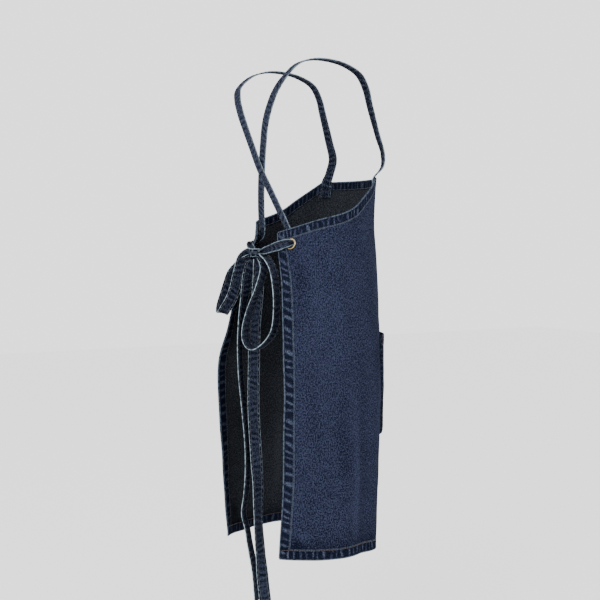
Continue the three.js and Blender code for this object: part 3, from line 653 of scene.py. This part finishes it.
# Darker dye and little pale wear at the edges: painted shade on the pocket's standing sides
pocket_painted_shade_denim = denim("pocket_denim_painted_shade", INDIGO_DEEP, dyed(INDIGO_FACE, 0.8), dyed(INDIGO_WORN, 0.5), edge_wear=0.2)
patch_pocket.data.materials.append(pocket_painted_shade_denim)
patch_pocket.data.materials.append(body_inside)
finish_with(patch_pocket, "SOLIDIFY", thickness=POCKET_WALL, offset=0, use_rim=True, material_offset=1,
            material_offset_rim=0)
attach(patch_pocket, "root")
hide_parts("pocket")


def pocket_row(across, height):
    """A row of stitches on the pocket: its places, and the way out from the cloth."""
    out = pocket_out(across, height) + POCKET_WALL / 2
    place = cloth_point(across, height, out)
    return place, unit(cloth_point(across, height, out + 0.001) - place)


def pocket_line(inset):
    """A row round the sides and floor, inset from the edge."""
    half, floor = POCKET_WIDTH / 2 - inset, POCKET_TOP - POCKET_HEIGHT + inset
    down = np.linspace(POCKET_TOP, floor, 90)
    across = np.concatenate([np.full(90, -half), np.linspace(-half, half, 100)[1:-1], np.full(90, half)])
    return pocket_row(across, np.concatenate([down, np.full(98, floor), down[::-1]]))


def mouth_line(down):
    across = np.linspace(-POCKET_WIDTH / 2 + 0.004, POCKET_WIDTH / 2 - 0.004, 150)
    return pocket_row(across, np.full_like(across, POCKET_TOP - down))


pocket_thread = stitches("topstitch_pocket", [
    pocket_line(0.0075), pocket_line(0.0125), mouth_line(0.0030), mouth_line(0.0220)], rust_thread)

# ------------------------------------------------------------------ grommets
# Two brass rings, one pressed into each back corner: a crowned flange outside, a barrel through
# the cloth and a flat washer inside. The straps run out through them to the knot.
BORE_RADIUS, WASHER_RADIUS, FLANGE_THICKNESS, WASHER_THICKNESS = 0.0066, 0.0106, 0.0024, 0.0010
TUBE_RADIUS, TUBE_HEIGHT, TUBE_WALL = 0.0071, 0.0042, 0.0008
CREST_RADIUS, CREST_WIDTH = 0.0095, 0.0026


def select_all():
    bpy.ops.object.mode_set(mode="EDIT")
    bpy.ops.mesh.select_all(action="SELECT")


def spun_ring(inner, outer, thickness, height):
    """A ring of oval section, spun about Z from a circle."""
    clear_selection()
    bpy.ops.mesh.primitive_circle_add(vertices=20, radius=1)
    ring = bpy.context.object
    select_all()
    bpy.ops.transform.resize(value=((outer - inner) / 2, thickness / 2, 1))
    bpy.ops.transform.rotate(value=math.pi / 2, orient_axis="X", center_override=(0, 0, 0))
    bpy.ops.transform.translate(value=((outer + inner) / 2, 0, height))
    bpy.ops.mesh.spin(steps=72, angle=2 * math.pi, center=(0, 0, 0), axis=(0, 0, 1))
    bpy.ops.mesh.select_all(action="SELECT")
    bpy.ops.mesh.remove_doubles(threshold=0.00002)
    bpy.ops.mesh.normals_make_consistent(inside=False)
    bpy.ops.object.mode_set(mode="OBJECT")
    return ring


def antique_brass():
    material, surface, tree, add, maths = new_finish("antique_brass")
    place = add("TexCoord").outputs["Object"]
    tarnish = add("TexNoise", {"Vector": place, "Scale": 320.0, "Detail": 4.0, "Roughness": 0.6}).outputs[0]
    scuffs = add("TexNoise", {"Vector": place, "Scale": 1800.0, "Detail": 2.0}).outputs[0]
    tone = colour_mix(add, stepped(add, tarnish, 0.40, 0.68), (0.520, 0.420, 0.250, 1),
                      (0.180, 0.130, 0.070, 1))
    rubbed = stepped(add, maths("ADD", read(add, "crest"), maths("MULTIPLY", tarnish, 0.3)), 0.25, 0.75)
    tone = colour_mix(add, rubbed, (0.022, 0.016, 0.010, 1), tone)
    tree.links.new(tone, surface.inputs["Base Color"])
    surface.inputs["Metallic"].default_value = 1.0
    dulled = maths("ADD", tarnish, maths("MULTIPLY", scuffs, 0.4))
    tree.links.new(stepped(add, dulled, 0.4, 0.9, 0.20, 0.48), surface.inputs["Roughness"])
    bump = add("Bump", {"Height": scuffs, "Strength": 0.25, "Distance": 0.0001})
    tree.links.new(bump.outputs[0], surface.inputs["Normal"])
    return material


brass = antique_brass()
for side, word in ((-1, "right"), (1, "left")):
    flange = spun_ring(BORE_RADIUS, FLANGE_RADIUS, FLANGE_THICKNESS, FLANGE_THICKNESS / 2 + CLOTH / 2)
    washer = spun_ring(BORE_RADIUS, WASHER_RADIUS, WASHER_THICKNESS, -0.0006 - CLOTH / 2)
    clear_selection()
    bpy.ops.mesh.primitive_cylinder_add(vertices=72, radius=TUBE_RADIUS, depth=TUBE_HEIGHT,
                                        end_fill_type="NOTHING", location=(0, 0, -0.0001))
    barrel = bpy.context.object
    bpy.ops.object.transform_apply(location=True)
    finish_with(barrel, "SOLIDIFY", thickness=TUBE_WALL, offset=-1, use_rim=True)
    for part in (washer, barrel, flange):
        reach = np.array([math.hypot(v.co.x, v.co.y) for v in part.data.vertices])
        mark(part.data, "crest", np.clip(1 - np.abs(reach - CREST_RADIUS) / CREST_WIDTH, 0, 1))
    take(washer, barrel, flange)
    bpy.ops.object.join()
    grommet = bpy.context.object
    grommet.name = f"brass_grommet_{word}"
    centre, normal = SEATS[side]
    stand = Vector((0, 0, 1)).rotation_difference(Vector(normal)).to_matrix().to_4x4()
    grommet.matrix_world = Matrix.Translation(centre) @ stand
    bpy.context.view_layer.update()
    take(grommet)
    bpy.ops.object.transform_apply(location=True, rotation=True, scale=True)
    bpy.ops.object.shade_smooth_by_angle(angle=math.radians(50))
    grommet.data.materials.append(brass)
    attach(grommet, "root")
    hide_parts(f"grommet_{word}")

# ------------------------------------------------------------------ straps
# Each strap is a 25 mm band of doubled denim, topstitched along both edges and sewn behind a bib
# corner. It goes over the shoulder, crosses the other behind, rolls up to pass out through the
# far grommet, and runs to the knot.
STRAP_WIDTH, STRAP_THICKNESS = 0.025, 0.0026
STRAP_SPREAD, CHEST_DEPTH, BIB_DROP, BIB_SEAT = 0.097, 0.145, 0.240, 0.034
STRAP_EDGE, STRAP_PITCH, STRAP_ROPE_DEPTH = 0.0042, 0.0115, 0.00022
MARK_PITCH, MARK_STRENGTH = 0.012, 0.80
KNOT_WIDTH, KNOT_STAND, KNOT_HANG = 0.027, 0.026, 0.018
CROSS_STEP, CROSS_REACH = 0.0020, 0.4
SEAM_DEPTH = -0.0053
ROLLED = 5.2
# Shares of the spread to the side, of the chest depth back, of the bib's drop down; lean in degrees
STRAP_ROUTE = [
    (-1.08, -0.96, 0.90, 20), (-1.03, -0.99, 0.78, 16), (-1.00, -0.91, 0.62, 10), (-0.98, -0.78, 0.36, 4),
    (-0.98, -0.715, 0.225, 0), (-0.98, -0.60, 0.115, 0), (-0.99, -0.37, 0.045, 0), (-1.00, -0.08, 0.014, 0),
    (-1.01, 0.20, 0.02, 0),
    (-1.04, 0.44, 0.07, 0), (-1.06, 0.64, 0.18, 0), (-0.88, 0.72, 0.29, 0), (-0.68, 0.745, 0.41, 0),
    (-0.46, 0.74, 0.55, 0), (-0.23, 0.70, 0.73, 0), (0.00, 0.645, 0.93, 0), (0.26, 0.56, 1.14, 0),
    (0.47, 0.475, 1.33, 0),
]
UP, ASIDE = np.array([0.0, 0, 1]), np.array([1.0, 0, 0])
# Beyond the far grommet, by the side that a strap starts on: how it lies, and its roll on the way
EXITS = {1: (UP, 3.3, 2.7, 3.5), -1: (np.array([0.5, 0.8, -0.3]), 4.6, 3.9, 4.2)}
# Section of a band: share of its half width, then of its half thickness, once round
BAND_FACE = [(-0.97, 0.72), (-0.90, 0.98), (-0.80, 1.0), (-0.70, 0.82), (-0.66, 0.74), (-0.60, 0.90), (-0.45, 1.0),
             (-0.2, 1.04), (0.0, 1.05), (0.2, 1.04), (0.45, 1.0), (0.60, 0.90), (0.66, 0.74), (0.70, 0.82),
             (0.80, 1.0), (0.90, 0.98), (0.97, 0.72)]
BAND_SECTION = np.array([(-1.0, 0.0)] + BAND_FACE + [(1.0, 0.0)] + [(u, -w) for u, w in BAND_FACE[::-1]])


def smooth_route(points, values):
    """A curve through the points with evenly mixed values, as (place, values) rows 2.6 mm apart."""
    points = np.vstack([2 * points[0] - points[1], points, 2 * points[-1] - points[-2]])
    lines, mixes = [], []
    t = np.linspace(0, 1, 25)[:-1]
    for k in range(len(points) - 3):
        p0, p1, p2, p3 = points[k:k + 4]
        d0, d1, d2 = (max(np.linalg.norm(b - a) ** 0.5, 1e-4) for a, b in ((p0, p1), (p1, p2), (p2, p3)))
        t1 = ((p1 - p0) / d0 - (p2 - p0) / (d0 + d1) + (p2 - p1) / d1) * d1
        t2 = ((p2 - p1) / d1 - (p3 - p1) / (d1 + d2) + (p3 - p2) / d2) * d1
        u = t[:, None]
        lines.append(p1 * (2 * u ** 3 - 3 * u ** 2 + 1) + t1 * (u ** 3 - 2 * u ** 2 + u)
                     + p2 * (-2 * u ** 3 + 3 * u ** 2) + t2 * (u ** 3 - u ** 2))
        ease = eased(u)
        mixes.append(values[k] * (1 - ease) + values[k + 1] * ease)
    line, mix = np.vstack(lines + [points[-2:-1]]), np.vstack(mixes + [values[-1:]])
    run = np.concatenate([[0], np.cumsum(np.linalg.norm(np.diff(line, axis=0), axis=1))])
    even = np.linspace(0, run[-1], int(run[-1] / 0.0026) + 1)
    pick = lambda rows: np.stack([np.interp(even, run, rows[:, k]) for k in range(rows.shape[1])], -1)
    return pick(line), pick(mix), even


def strap_band(name, route, finish, phase, shade=0.0, turned=STRAP_EDGE):
    """A denim band along a route of (place, edge direction, width, thickness, roll), with its stitch lines."""
    points = np.array([r[0] for r in route])
    values = np.array([[*(np.asarray(r[1]) / np.linalg.norm(r[1])), r[2], r[3], r[4]] for r in route])
    line, mix, run = smooth_route(points, values)
    kernel = np.hanning(9)[1:-1] / np.hanning(9)[1:-1].sum()
    edge = np.stack([np.convolve(np.pad(mix[:, k], 3, mode="edge"), kernel, mode="valid") for k in range(3)], -1)
    tangent = unit(np.gradient(line, axis=0))
    edge = unit(edge - (edge * tangent).sum(1, keepdims=True) * tangent)
    face = np.cross(tangent, edge)
    width, thick, roll = mix[:, 3:4], mix[:, 4:5], np.maximum(mix[:, 5:6], 0.05)

    def at(u, w):
        """Places at a share of the half width and a distance from the middle of the band."""
        radius = width / roll
        angle = u * width / 2 / radius
        level = radius * (2 / roll) * np.sin(roll / 2)
        return line + (radius + w) * np.sin(angle) * edge + ((radius + w) * np.cos(angle) - level) * face

    u, w = BAND_SECTION[None, :, 0], BAND_SECTION[None, :, 1]
    down = run[:, None] * np.ones_like(u)
    margin = np.clip((1 - np.abs(u)) * STRAP_WIDTH / 2 / turned, 0, 3) * np.ones_like(down)
    ropes = rope(down + 0.002 * np.sign(u), margin, STRAP_PITCH, phase + 1.7 * np.sign(u))
    ripple = STRAP_ROPE_DEPTH * ropes * np.sign(w) * (np.abs(w) > 0.1)
    rings = np.stack([at(u[:, k], w[:, k] * thick / 2 + ripple[:, k:k + 1]) for k in range(u.shape[1])], axis=1)
    count, around = rings.shape[:2]
    cell = np.arange(count - 1)[:, None] * around
    k = np.arange(around)
    after = (k + 1) % around
    faces = np.stack([cell + k, cell + after, cell + around + after, cell + around + k], -1).reshape(-1, 4).tolist()
    faces.append(list(range(around))[::-1])
    faces.append([(count - 1) * around + k for k in range(around)])
    turns = down / MARK_PITCH
    slant = 0.40 * u * np.sin(0.8 * turns + phase)
    marks = np.sin(2 * math.pi * (turns + slant) + 0.9 * np.sin(0.7 * turns + phase))
    # shade lightens or darkens the whole band or one face; on the straps' inner faces, the left loop and the left
    # tail it is painted shade
    marks = MARK_STRENGTH * marks * (0.65 + 0.35 * np.sin(1.3 * turns + 2 * phase)) + shade
    uv = np.stack([u * STRAP_WIDTH / 2 * np.ones_like(down), down], -1) + (0.2 + phase, 0)
    band = new_piece(name, rings, faces, uv=uv,
                     marks={"inward": margin, "roping": ropes, "tone_and_painted_light": marks})
    take(band)
    select_all()
    bpy.ops.mesh.normals_make_consistent(inside=False)
    bpy.ops.object.mode_set(mode="OBJECT")
    band.data.materials.append(finish)
    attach(band, "root")
    seams = []
    for u in (-0.68, 0.68):
        for w in (-1, 1):
            seam = at(np.full((count, 1), u), w * thick * 0.44)
            seams.append((seam, unit(at(np.full((count, 1), u), w * thick * 0.9) - seam)))
    return band, seams


back_corner = cloth_point(HALF_WIDTH, top_edge(HALF_WIDTH), 0)
knot_place = np.array([0, back_corner[1] + KNOT_STAND, SEATS[1][0][2] - KNOT_HANG])


def strap_route(start):
    """Rows of (place, edge, width, thickness, roll) from the bib corner on side start to the knot."""
    seat_across = start * (BIB_HALF_WIDTH - STRAP_WIDTH / 2 - 0.0003)
    rows = []
    for share in (1, 0.5, 0):
        height = BIB_TOP - BIB_SEAT * share
        edge = cloth_point(seat_across + 0.001, height, 0) - cloth_point(seat_across, height, 0)
        rows.append((cloth_point(seat_across, height, SEAM_DEPTH), edge, STRAP_WIDTH, STRAP_THICKNESS, 0.1))
    for side, back, down, lean in STRAP_ROUTE:
        parting = math.exp(-((side / CROSS_REACH) ** 2))
        lean = math.radians(lean)
        place = np.array([-start * side * STRAP_SPREAD, back * CHEST_DEPTH + start * CROSS_STEP * parting,
                          -down * BIB_DROP])
        rows.append((place, (math.cos(lean), start * math.sin(lean), 0), STRAP_WIDTH, STRAP_THICKNESS, 0.25))
    seat, normal = SEATS[-start]
    inward = np.array([start, 0, 0])
    to_knot = knot_place - inward * (KNOT_WIDTH / 2 - 0.002)
    level = np.cross(normal, UP) * -start
    twist = level * math.copysign(1, level[0]) + UP
    lay, near_roll, middle_roll, far_roll = EXITS[start]
    # Behind, in and beyond the far grommet: metres out, up and towards the middle
    for out, up, aside, edge, thick, roll in (
            (-0.014, 0.024, 0.014, ASIDE, 0.0024, 2.2), (-0.007, 0.0015, 0, twist, 0.0020, ROLLED),
            (-0.0005, 0, 0, twist, 0.0020, ROLLED), (0.0075, 0, 0.003, lay, 0.0021, near_roll)):
        rows.append((seat + out * normal + up * UP + aside * inward, edge, STRAP_WIDTH, thick, roll))
    rows.append(((seat + 0.011 * normal) * 0.7 + to_knot * 0.3, lay, STRAP_WIDTH, 0.0022, middle_roll))
    rows.append(((seat + 0.010 * normal) * 0.3 + to_knot * 0.7, lay, STRAP_WIDTH, 0.0022, far_roll))
    rows.append((to_knot, lay, STRAP_WIDTH, 0.0022, ROLLED))
    return rows


STRAP_DEEP, STRAP_FACE, STRAP_WORN = (0.0018, 0.0026, 0.0060), (0.0275, 0.0335, 0.0550), (0.150, 0.190, 0.240)
# The face of a strap that lies against the wearer is darkened with painted shade
INNER_FACE_PAINTED_SHADE = -0.5 * (BAND_SECTION[:, 1] > 0)
strap_denim = denim("strap_denim", STRAP_DEEP, STRAP_FACE, STRAP_WORN, edge_wear=0.85, edge_reach=0.26)
bow_denim = denim("bow_denim", STRAP_DEEP, dyed(STRAP_FACE, 0.8), (0.235, 0.300, 0.350), hem_wear=1.25,
                  edge_wear=0.8, edge_reach=0.25)
bow_thread = thread_finish("worn_plum_thread", (0.030, 0.026, 0.034), (0.012, 0.010, 0.016))
strap_right, strap_right_seams = strap_band("strap_right_band", strap_route(-1), strap_denim, 0.3, INNER_FACE_PAINTED_SHADE)
strap_left, strap_left_seams = strap_band("strap_left_band", strap_route(1), strap_denim, 1.9, INNER_FACE_PAINTED_SHADE)
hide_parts("strap_right")
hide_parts("strap_left")
strap_thread = [stitches("topstitch_straps", strap_right_seams + strap_left_seams, grey_thread)]

# ------------------------------------------------------------------ bow
# The ends of both straps are tied in a bow: two loops and two long tails hang from the knot.
BOW_SPREAD, GATHER_REACH, ARCH_REACH = 0.100, 0.048, 0.030
TIED_ROLL, ARCH_ROLL, OPEN_ROLL, ARCH_GATHER = 3.6, 1.5, 0.3, 0.36
BOW_THICKNESS = 0.0024
LOOP_LEFT_DROP, LOOP_RIGHT_DROP, TAIL_DROP = 0.129, 0.199, 0.745
# Shares of the spread to the side and back, of the piece's own drop down; bearing of the band's
# width, and on the left loop how far it tilts up from level
LOOP_LEFT = [
    (-0.005, 0.072, -0.005, 140, 62), (0.097, 0.129, -0.02, 130, 58), (0.217, 0.175, 0.03, 100, 36),
    (0.307, 0.192, 0.11, 70, 12), (0.37, 0.19, 0.21, 60, 2), (0.47, 0.21, 0.40, 60, 0), (0.565, 0.228, 0.60, 60, 0),
    (0.675, 0.29, 0.80, 60, 4), (0.75, 0.36, 0.92, 60, 10), (0.845, 0.388, 1.00, 60, 12),
    (0.94, 0.368, 0.975, 60, 8), (0.98, 0.335, 0.89, 60, 2), (0.94, 0.27, 0.70, 60, 0), (0.85, 0.225, 0.50, 60, 0),
    (0.70, 0.215, 0.34, 60, 0), (0.48, 0.165, 0.20, 62, 0), (0.27, 0.10, 0.10, 74, 0), (0.12, 0.05, 0.06, 90, 0),
]
LOOP_RIGHT = [
    (-0.11, -0.058, 0.045, -60), (-0.203, -0.03, 0.07, -64), (-0.327, 0.007, 0.11, -68), (-0.40, 0.037, 0.17, -70),
    (-0.312, 0.108, 0.36, -70), (-0.13, 0.22, 0.60, -70), (0.01, 0.25, 0.79, -70), (0.02, 0.24, 0.91, -70),
    (-0.08, 0.20, 0.985, -70), (-0.25, 0.15, 1.00, -70), (-0.45, 0.08, 0.95, -70), (-0.60, 0.00, 0.87, -70),
    (-0.70, -0.05, 0.77, -70), (-0.75, -0.07, 0.58, -70), (-0.72, -0.07, 0.36, -70), (-0.64, -0.04, 0.17, -70),
    (-0.50, -0.02, 0.085, -68), (-0.352, -0.028, 0.05, -64), (-0.16, -0.053, 0.030, -60),
]
TAIL_RIGHT = [
    (-0.01, -0.02, 0.0163, 50), (-0.02, -0.04, 0.05, 56), (0.03, -0.03, 0.12, 60), (0.09, 0.00, 0.20, 58),
    (0.10, 0.02, 0.32, 60), (0.12, 0.02, 0.44, 62), (0.05, 0.00, 0.57, 66), (0.01, -0.02, 0.66, 90),
    (-0.02, -0.01, 0.76, 106), (-0.08, -0.03, 0.85, 96), (-0.18, -0.05, 0.94, 64), (-0.26, -0.07, 1.00, 60),
]
TAIL_LEFT = [
    (0.074, -0.060, 0.0127, -130), (0.15, 0.06, 0.037, -124), (0.19, 0.10, 0.065, -112), (0.21, 0.13, 0.10, -92),
    (0.25, 0.17, 0.14, -70), (0.29, 0.235, 0.23, -56), (0.29, 0.23, 0.335, -54),
    (0.31, 0.15, 0.43, -54), (0.30, 0.08, 0.54, -52),
    (0.30, 0.065, 0.62, -54), (0.32, 0.09, 0.69, -56), (0.36, 0.13, 0.745, -52), (0.323, 0.065, 0.79, -52),
    (0.303, 0.024, 0.83, -54), (0.247, -0.066, 0.91, -56), (0.212, -0.115, 1.00, -56),
]


def bow_route(rows, drop):
    """Rows for strap_band: rolled up at the knot, and open where it hangs clear."""
    route = []
    for side, back, down, bearing, tilt in [(*row, 0)[:5] for row in rows]:
        offset = np.array([side * BOW_SPREAD, back * BOW_SPREAD, -down * drop])
        opened = eased(min(np.linalg.norm(offset) / (ARCH_REACH if tilt else GATHER_REACH), 1))
        tied = ARCH_ROLL if tilt > 0 and back > 0.05 else TIED_ROLL
        bearing, tilt = math.radians(bearing), math.radians(tilt)
        level = math.cos(tilt)
        edge = (level * math.cos(bearing), level * math.sin(bearing), math.sin(tilt))
        width = STRAP_WIDTH * (1 - ARCH_GATHER * max(tilt, 0) / (math.pi / 2))
        route.append((knot_place + offset, edge, width, BOW_THICKNESS, tied * (1 - opened) + OPEN_ROLL * opened))
    return route


bow_seams = []
bow = {}
# The last number lightens or darkens a piece: on the left loop and the left tail it is painted shade
for name, rows, drop, phase, shade in (
        ("bow_loop_left", LOOP_LEFT, LOOP_LEFT_DROP, 0.6, -0.42),
        ("bow_loop_right", LOOP_RIGHT, LOOP_RIGHT_DROP, 1.1, 0.0),
        ("tail_right", TAIL_RIGHT, TAIL_DROP, 2.2, 0.04), ("tail_left", TAIL_LEFT, TAIL_DROP, 2.9, -0.40)):
    bow[name], seams = strap_band(name + "_band", bow_route(rows, drop), bow_denim, phase, shade)
    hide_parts(name)
    bow_seams += seams
strap_thread.append(stitches("topstitch_bow", bow_seams, bow_thread))

# ------------------------------------------------------------------ knot
# Where the two straps are tied: one band wraps round the gathered middle and is tucked under
# itself, over a core of the same doubled denim.
KNOT_LONG, KNOT_DEEP = np.array([0.5, 0.866, 0]), np.array([-0.866, 0.5, 0])
WRAP_WIDTH, WRAP_THICKNESS, WRAP_EDGE = 0.0172, 0.0021, 0.0095
CORE_LONG, CORE_DEEP, CORE_HIGH = 0.0122, 0.0072, 0.0095
# Bearing round the knot in degrees, reach along it and across it, height, lean outwards and roll
WRAP_TURNS = [
    (-150, 0.0100, 0.0080, -0.0010, 0.05, 0.9), (-110, 0.0125, 0.0095, -0.0006, 0.10, 0.7),
    (-60, 0.0138, 0.0105, -0.0002, 0.12, 0.6), (-10, 0.0150, 0.0115, 0.0000, 0.14, 0.6),
    (35, 0.0152, 0.0128, 0.0004, 0.18, 0.6), (75, 0.0150, 0.0136, 0.0006, 0.22, 0.5),
    (115, 0.0150, 0.0138, 0.0004, 0.22, 0.5), (160, 0.0154, 0.0134, 0.0000, 0.18, 0.6),
    (205, 0.0156, 0.0128, -0.0004, 0.14, 0.7), (250, 0.0156, 0.0126, -0.0002, 0.12, 0.7),
    (300, 0.0154, 0.0124, 0.0004, 0.10, 0.8), (335, 0.0136, 0.0108, 0.0008, 0.08, 1.0),
]
wrap_route = []
for bearing, reach_long, reach_deep, rise, lean, roll in WRAP_TURNS:
    angle = math.radians(bearing)
    outward = math.cos(angle) * KNOT_LONG + math.sin(angle) * KNOT_DEEP
    place = knot_place + reach_long * math.cos(angle) * KNOT_LONG + reach_deep * math.sin(angle) * KNOT_DEEP
    wrap_route.append((place + rise * UP, UP + lean * outward, WRAP_WIDTH, WRAP_THICKNESS, roll))
knot_wrap = strap_band("knot_wrap", wrap_route, bow_denim, 3.4, shade=-0.1, turned=WRAP_EDGE)[0]
clear_selection()
bpy.ops.mesh.primitive_uv_sphere_add(segments=48, ring_count=32, radius=1)
knot_core = bpy.context.object
knot_core.name = "knot_core"
core = knot_core.data
for v in core.vertices:
    bearing = math.atan2(v.co.y, v.co.x)
    crease = 1 + 0.07 * math.sin(5 * bearing + 5 * v.co.z) + 0.05 * math.sin(9 * bearing - 7 * v.co.z)
    along, deep = v.co.x * CORE_LONG * crease, v.co.y * CORE_DEEP * crease
    v.co = Vector(knot_place + along * KNOT_LONG + deep * KNOT_DEEP + v.co.z * CORE_HIGH * UP)
core.uv_layers[0].name = "cloth"
for loop in core.uv_layers[0].data:
    loop.uv = (loop.uv[0] * 0.06, loop.uv[1] * 0.03)
core.polygons.foreach_set("use_smooth", [True] * len(core.polygons))
mark(core, "inward", [3.0] * len(core.vertices))
core.materials.append(strap_denim)
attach(knot_core, "root")
for part in (knot_wrap, knot_core):
    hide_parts("knot")

# ------------------------------------------------------------------ studio
# A pale floor, a bright white world, soft light from one large panel, and the camera.
FLOOR_LEVEL = -1.40
clear_selection()
bpy.ops.mesh.primitive_plane_add(size=16, location=(0, 0, FLOOR_LEVEL))
floor = bpy.context.object
floor.name = "studio_floor"
bpy.ops.object.transform_apply(location=True)
pale, surface, *_ = new_finish("pale_floor")
surface.inputs["Base Color"].default_value = (0.93, 0.93, 0.93, 1)
surface.inputs["Roughness"].default_value = 0.9
floor.data.materials.append(pale)

world = bpy.data.worlds.new("studio")
world.use_nodes = True
world.node_tree.nodes["Background"].inputs["Color"].default_value = (1, 1, 1, 1)
world.node_tree.nodes["Background"].inputs["Strength"].default_value = 2.0
bpy.context.scene.world = world


def soft_light(name, place, aim, size, power):
    lamp = bpy.data.lights.new(name, "AREA")
    lamp.size, lamp.energy = size, power
    holder = bpy.data.objects.new(name, lamp)
    holder.location = place
    holder.rotation_euler = (Vector(aim) - Vector(place)).to_track_quat("-Z", "Y").to_euler()
    bpy.context.collection.objects.link(holder)


soft_light("key_panel", (-1.8, 2.4, 1.2), (0, 0, -0.6), 1.6, 60)

CAMERA_BEARING, CAMERA_PITCH, CAMERA_AWAY, CAMERA_LEVEL = math.radians(240), math.radians(3), 2.310, -0.377
lens = bpy.data.cameras.new("camera")
lens.lens, lens.sensor_width = 64.8, 36
camera = bpy.data.objects.new("camera", lens)
camera.location = (CAMERA_AWAY * math.sin(CAMERA_BEARING), -CAMERA_AWAY * math.cos(CAMERA_BEARING), CAMERA_LEVEL)
camera.rotation_euler = (math.pi / 2 - CAMERA_PITCH, 0, CAMERA_BEARING)
bpy.context.collection.objects.link(camera)
bpy.context.scene.camera = camera
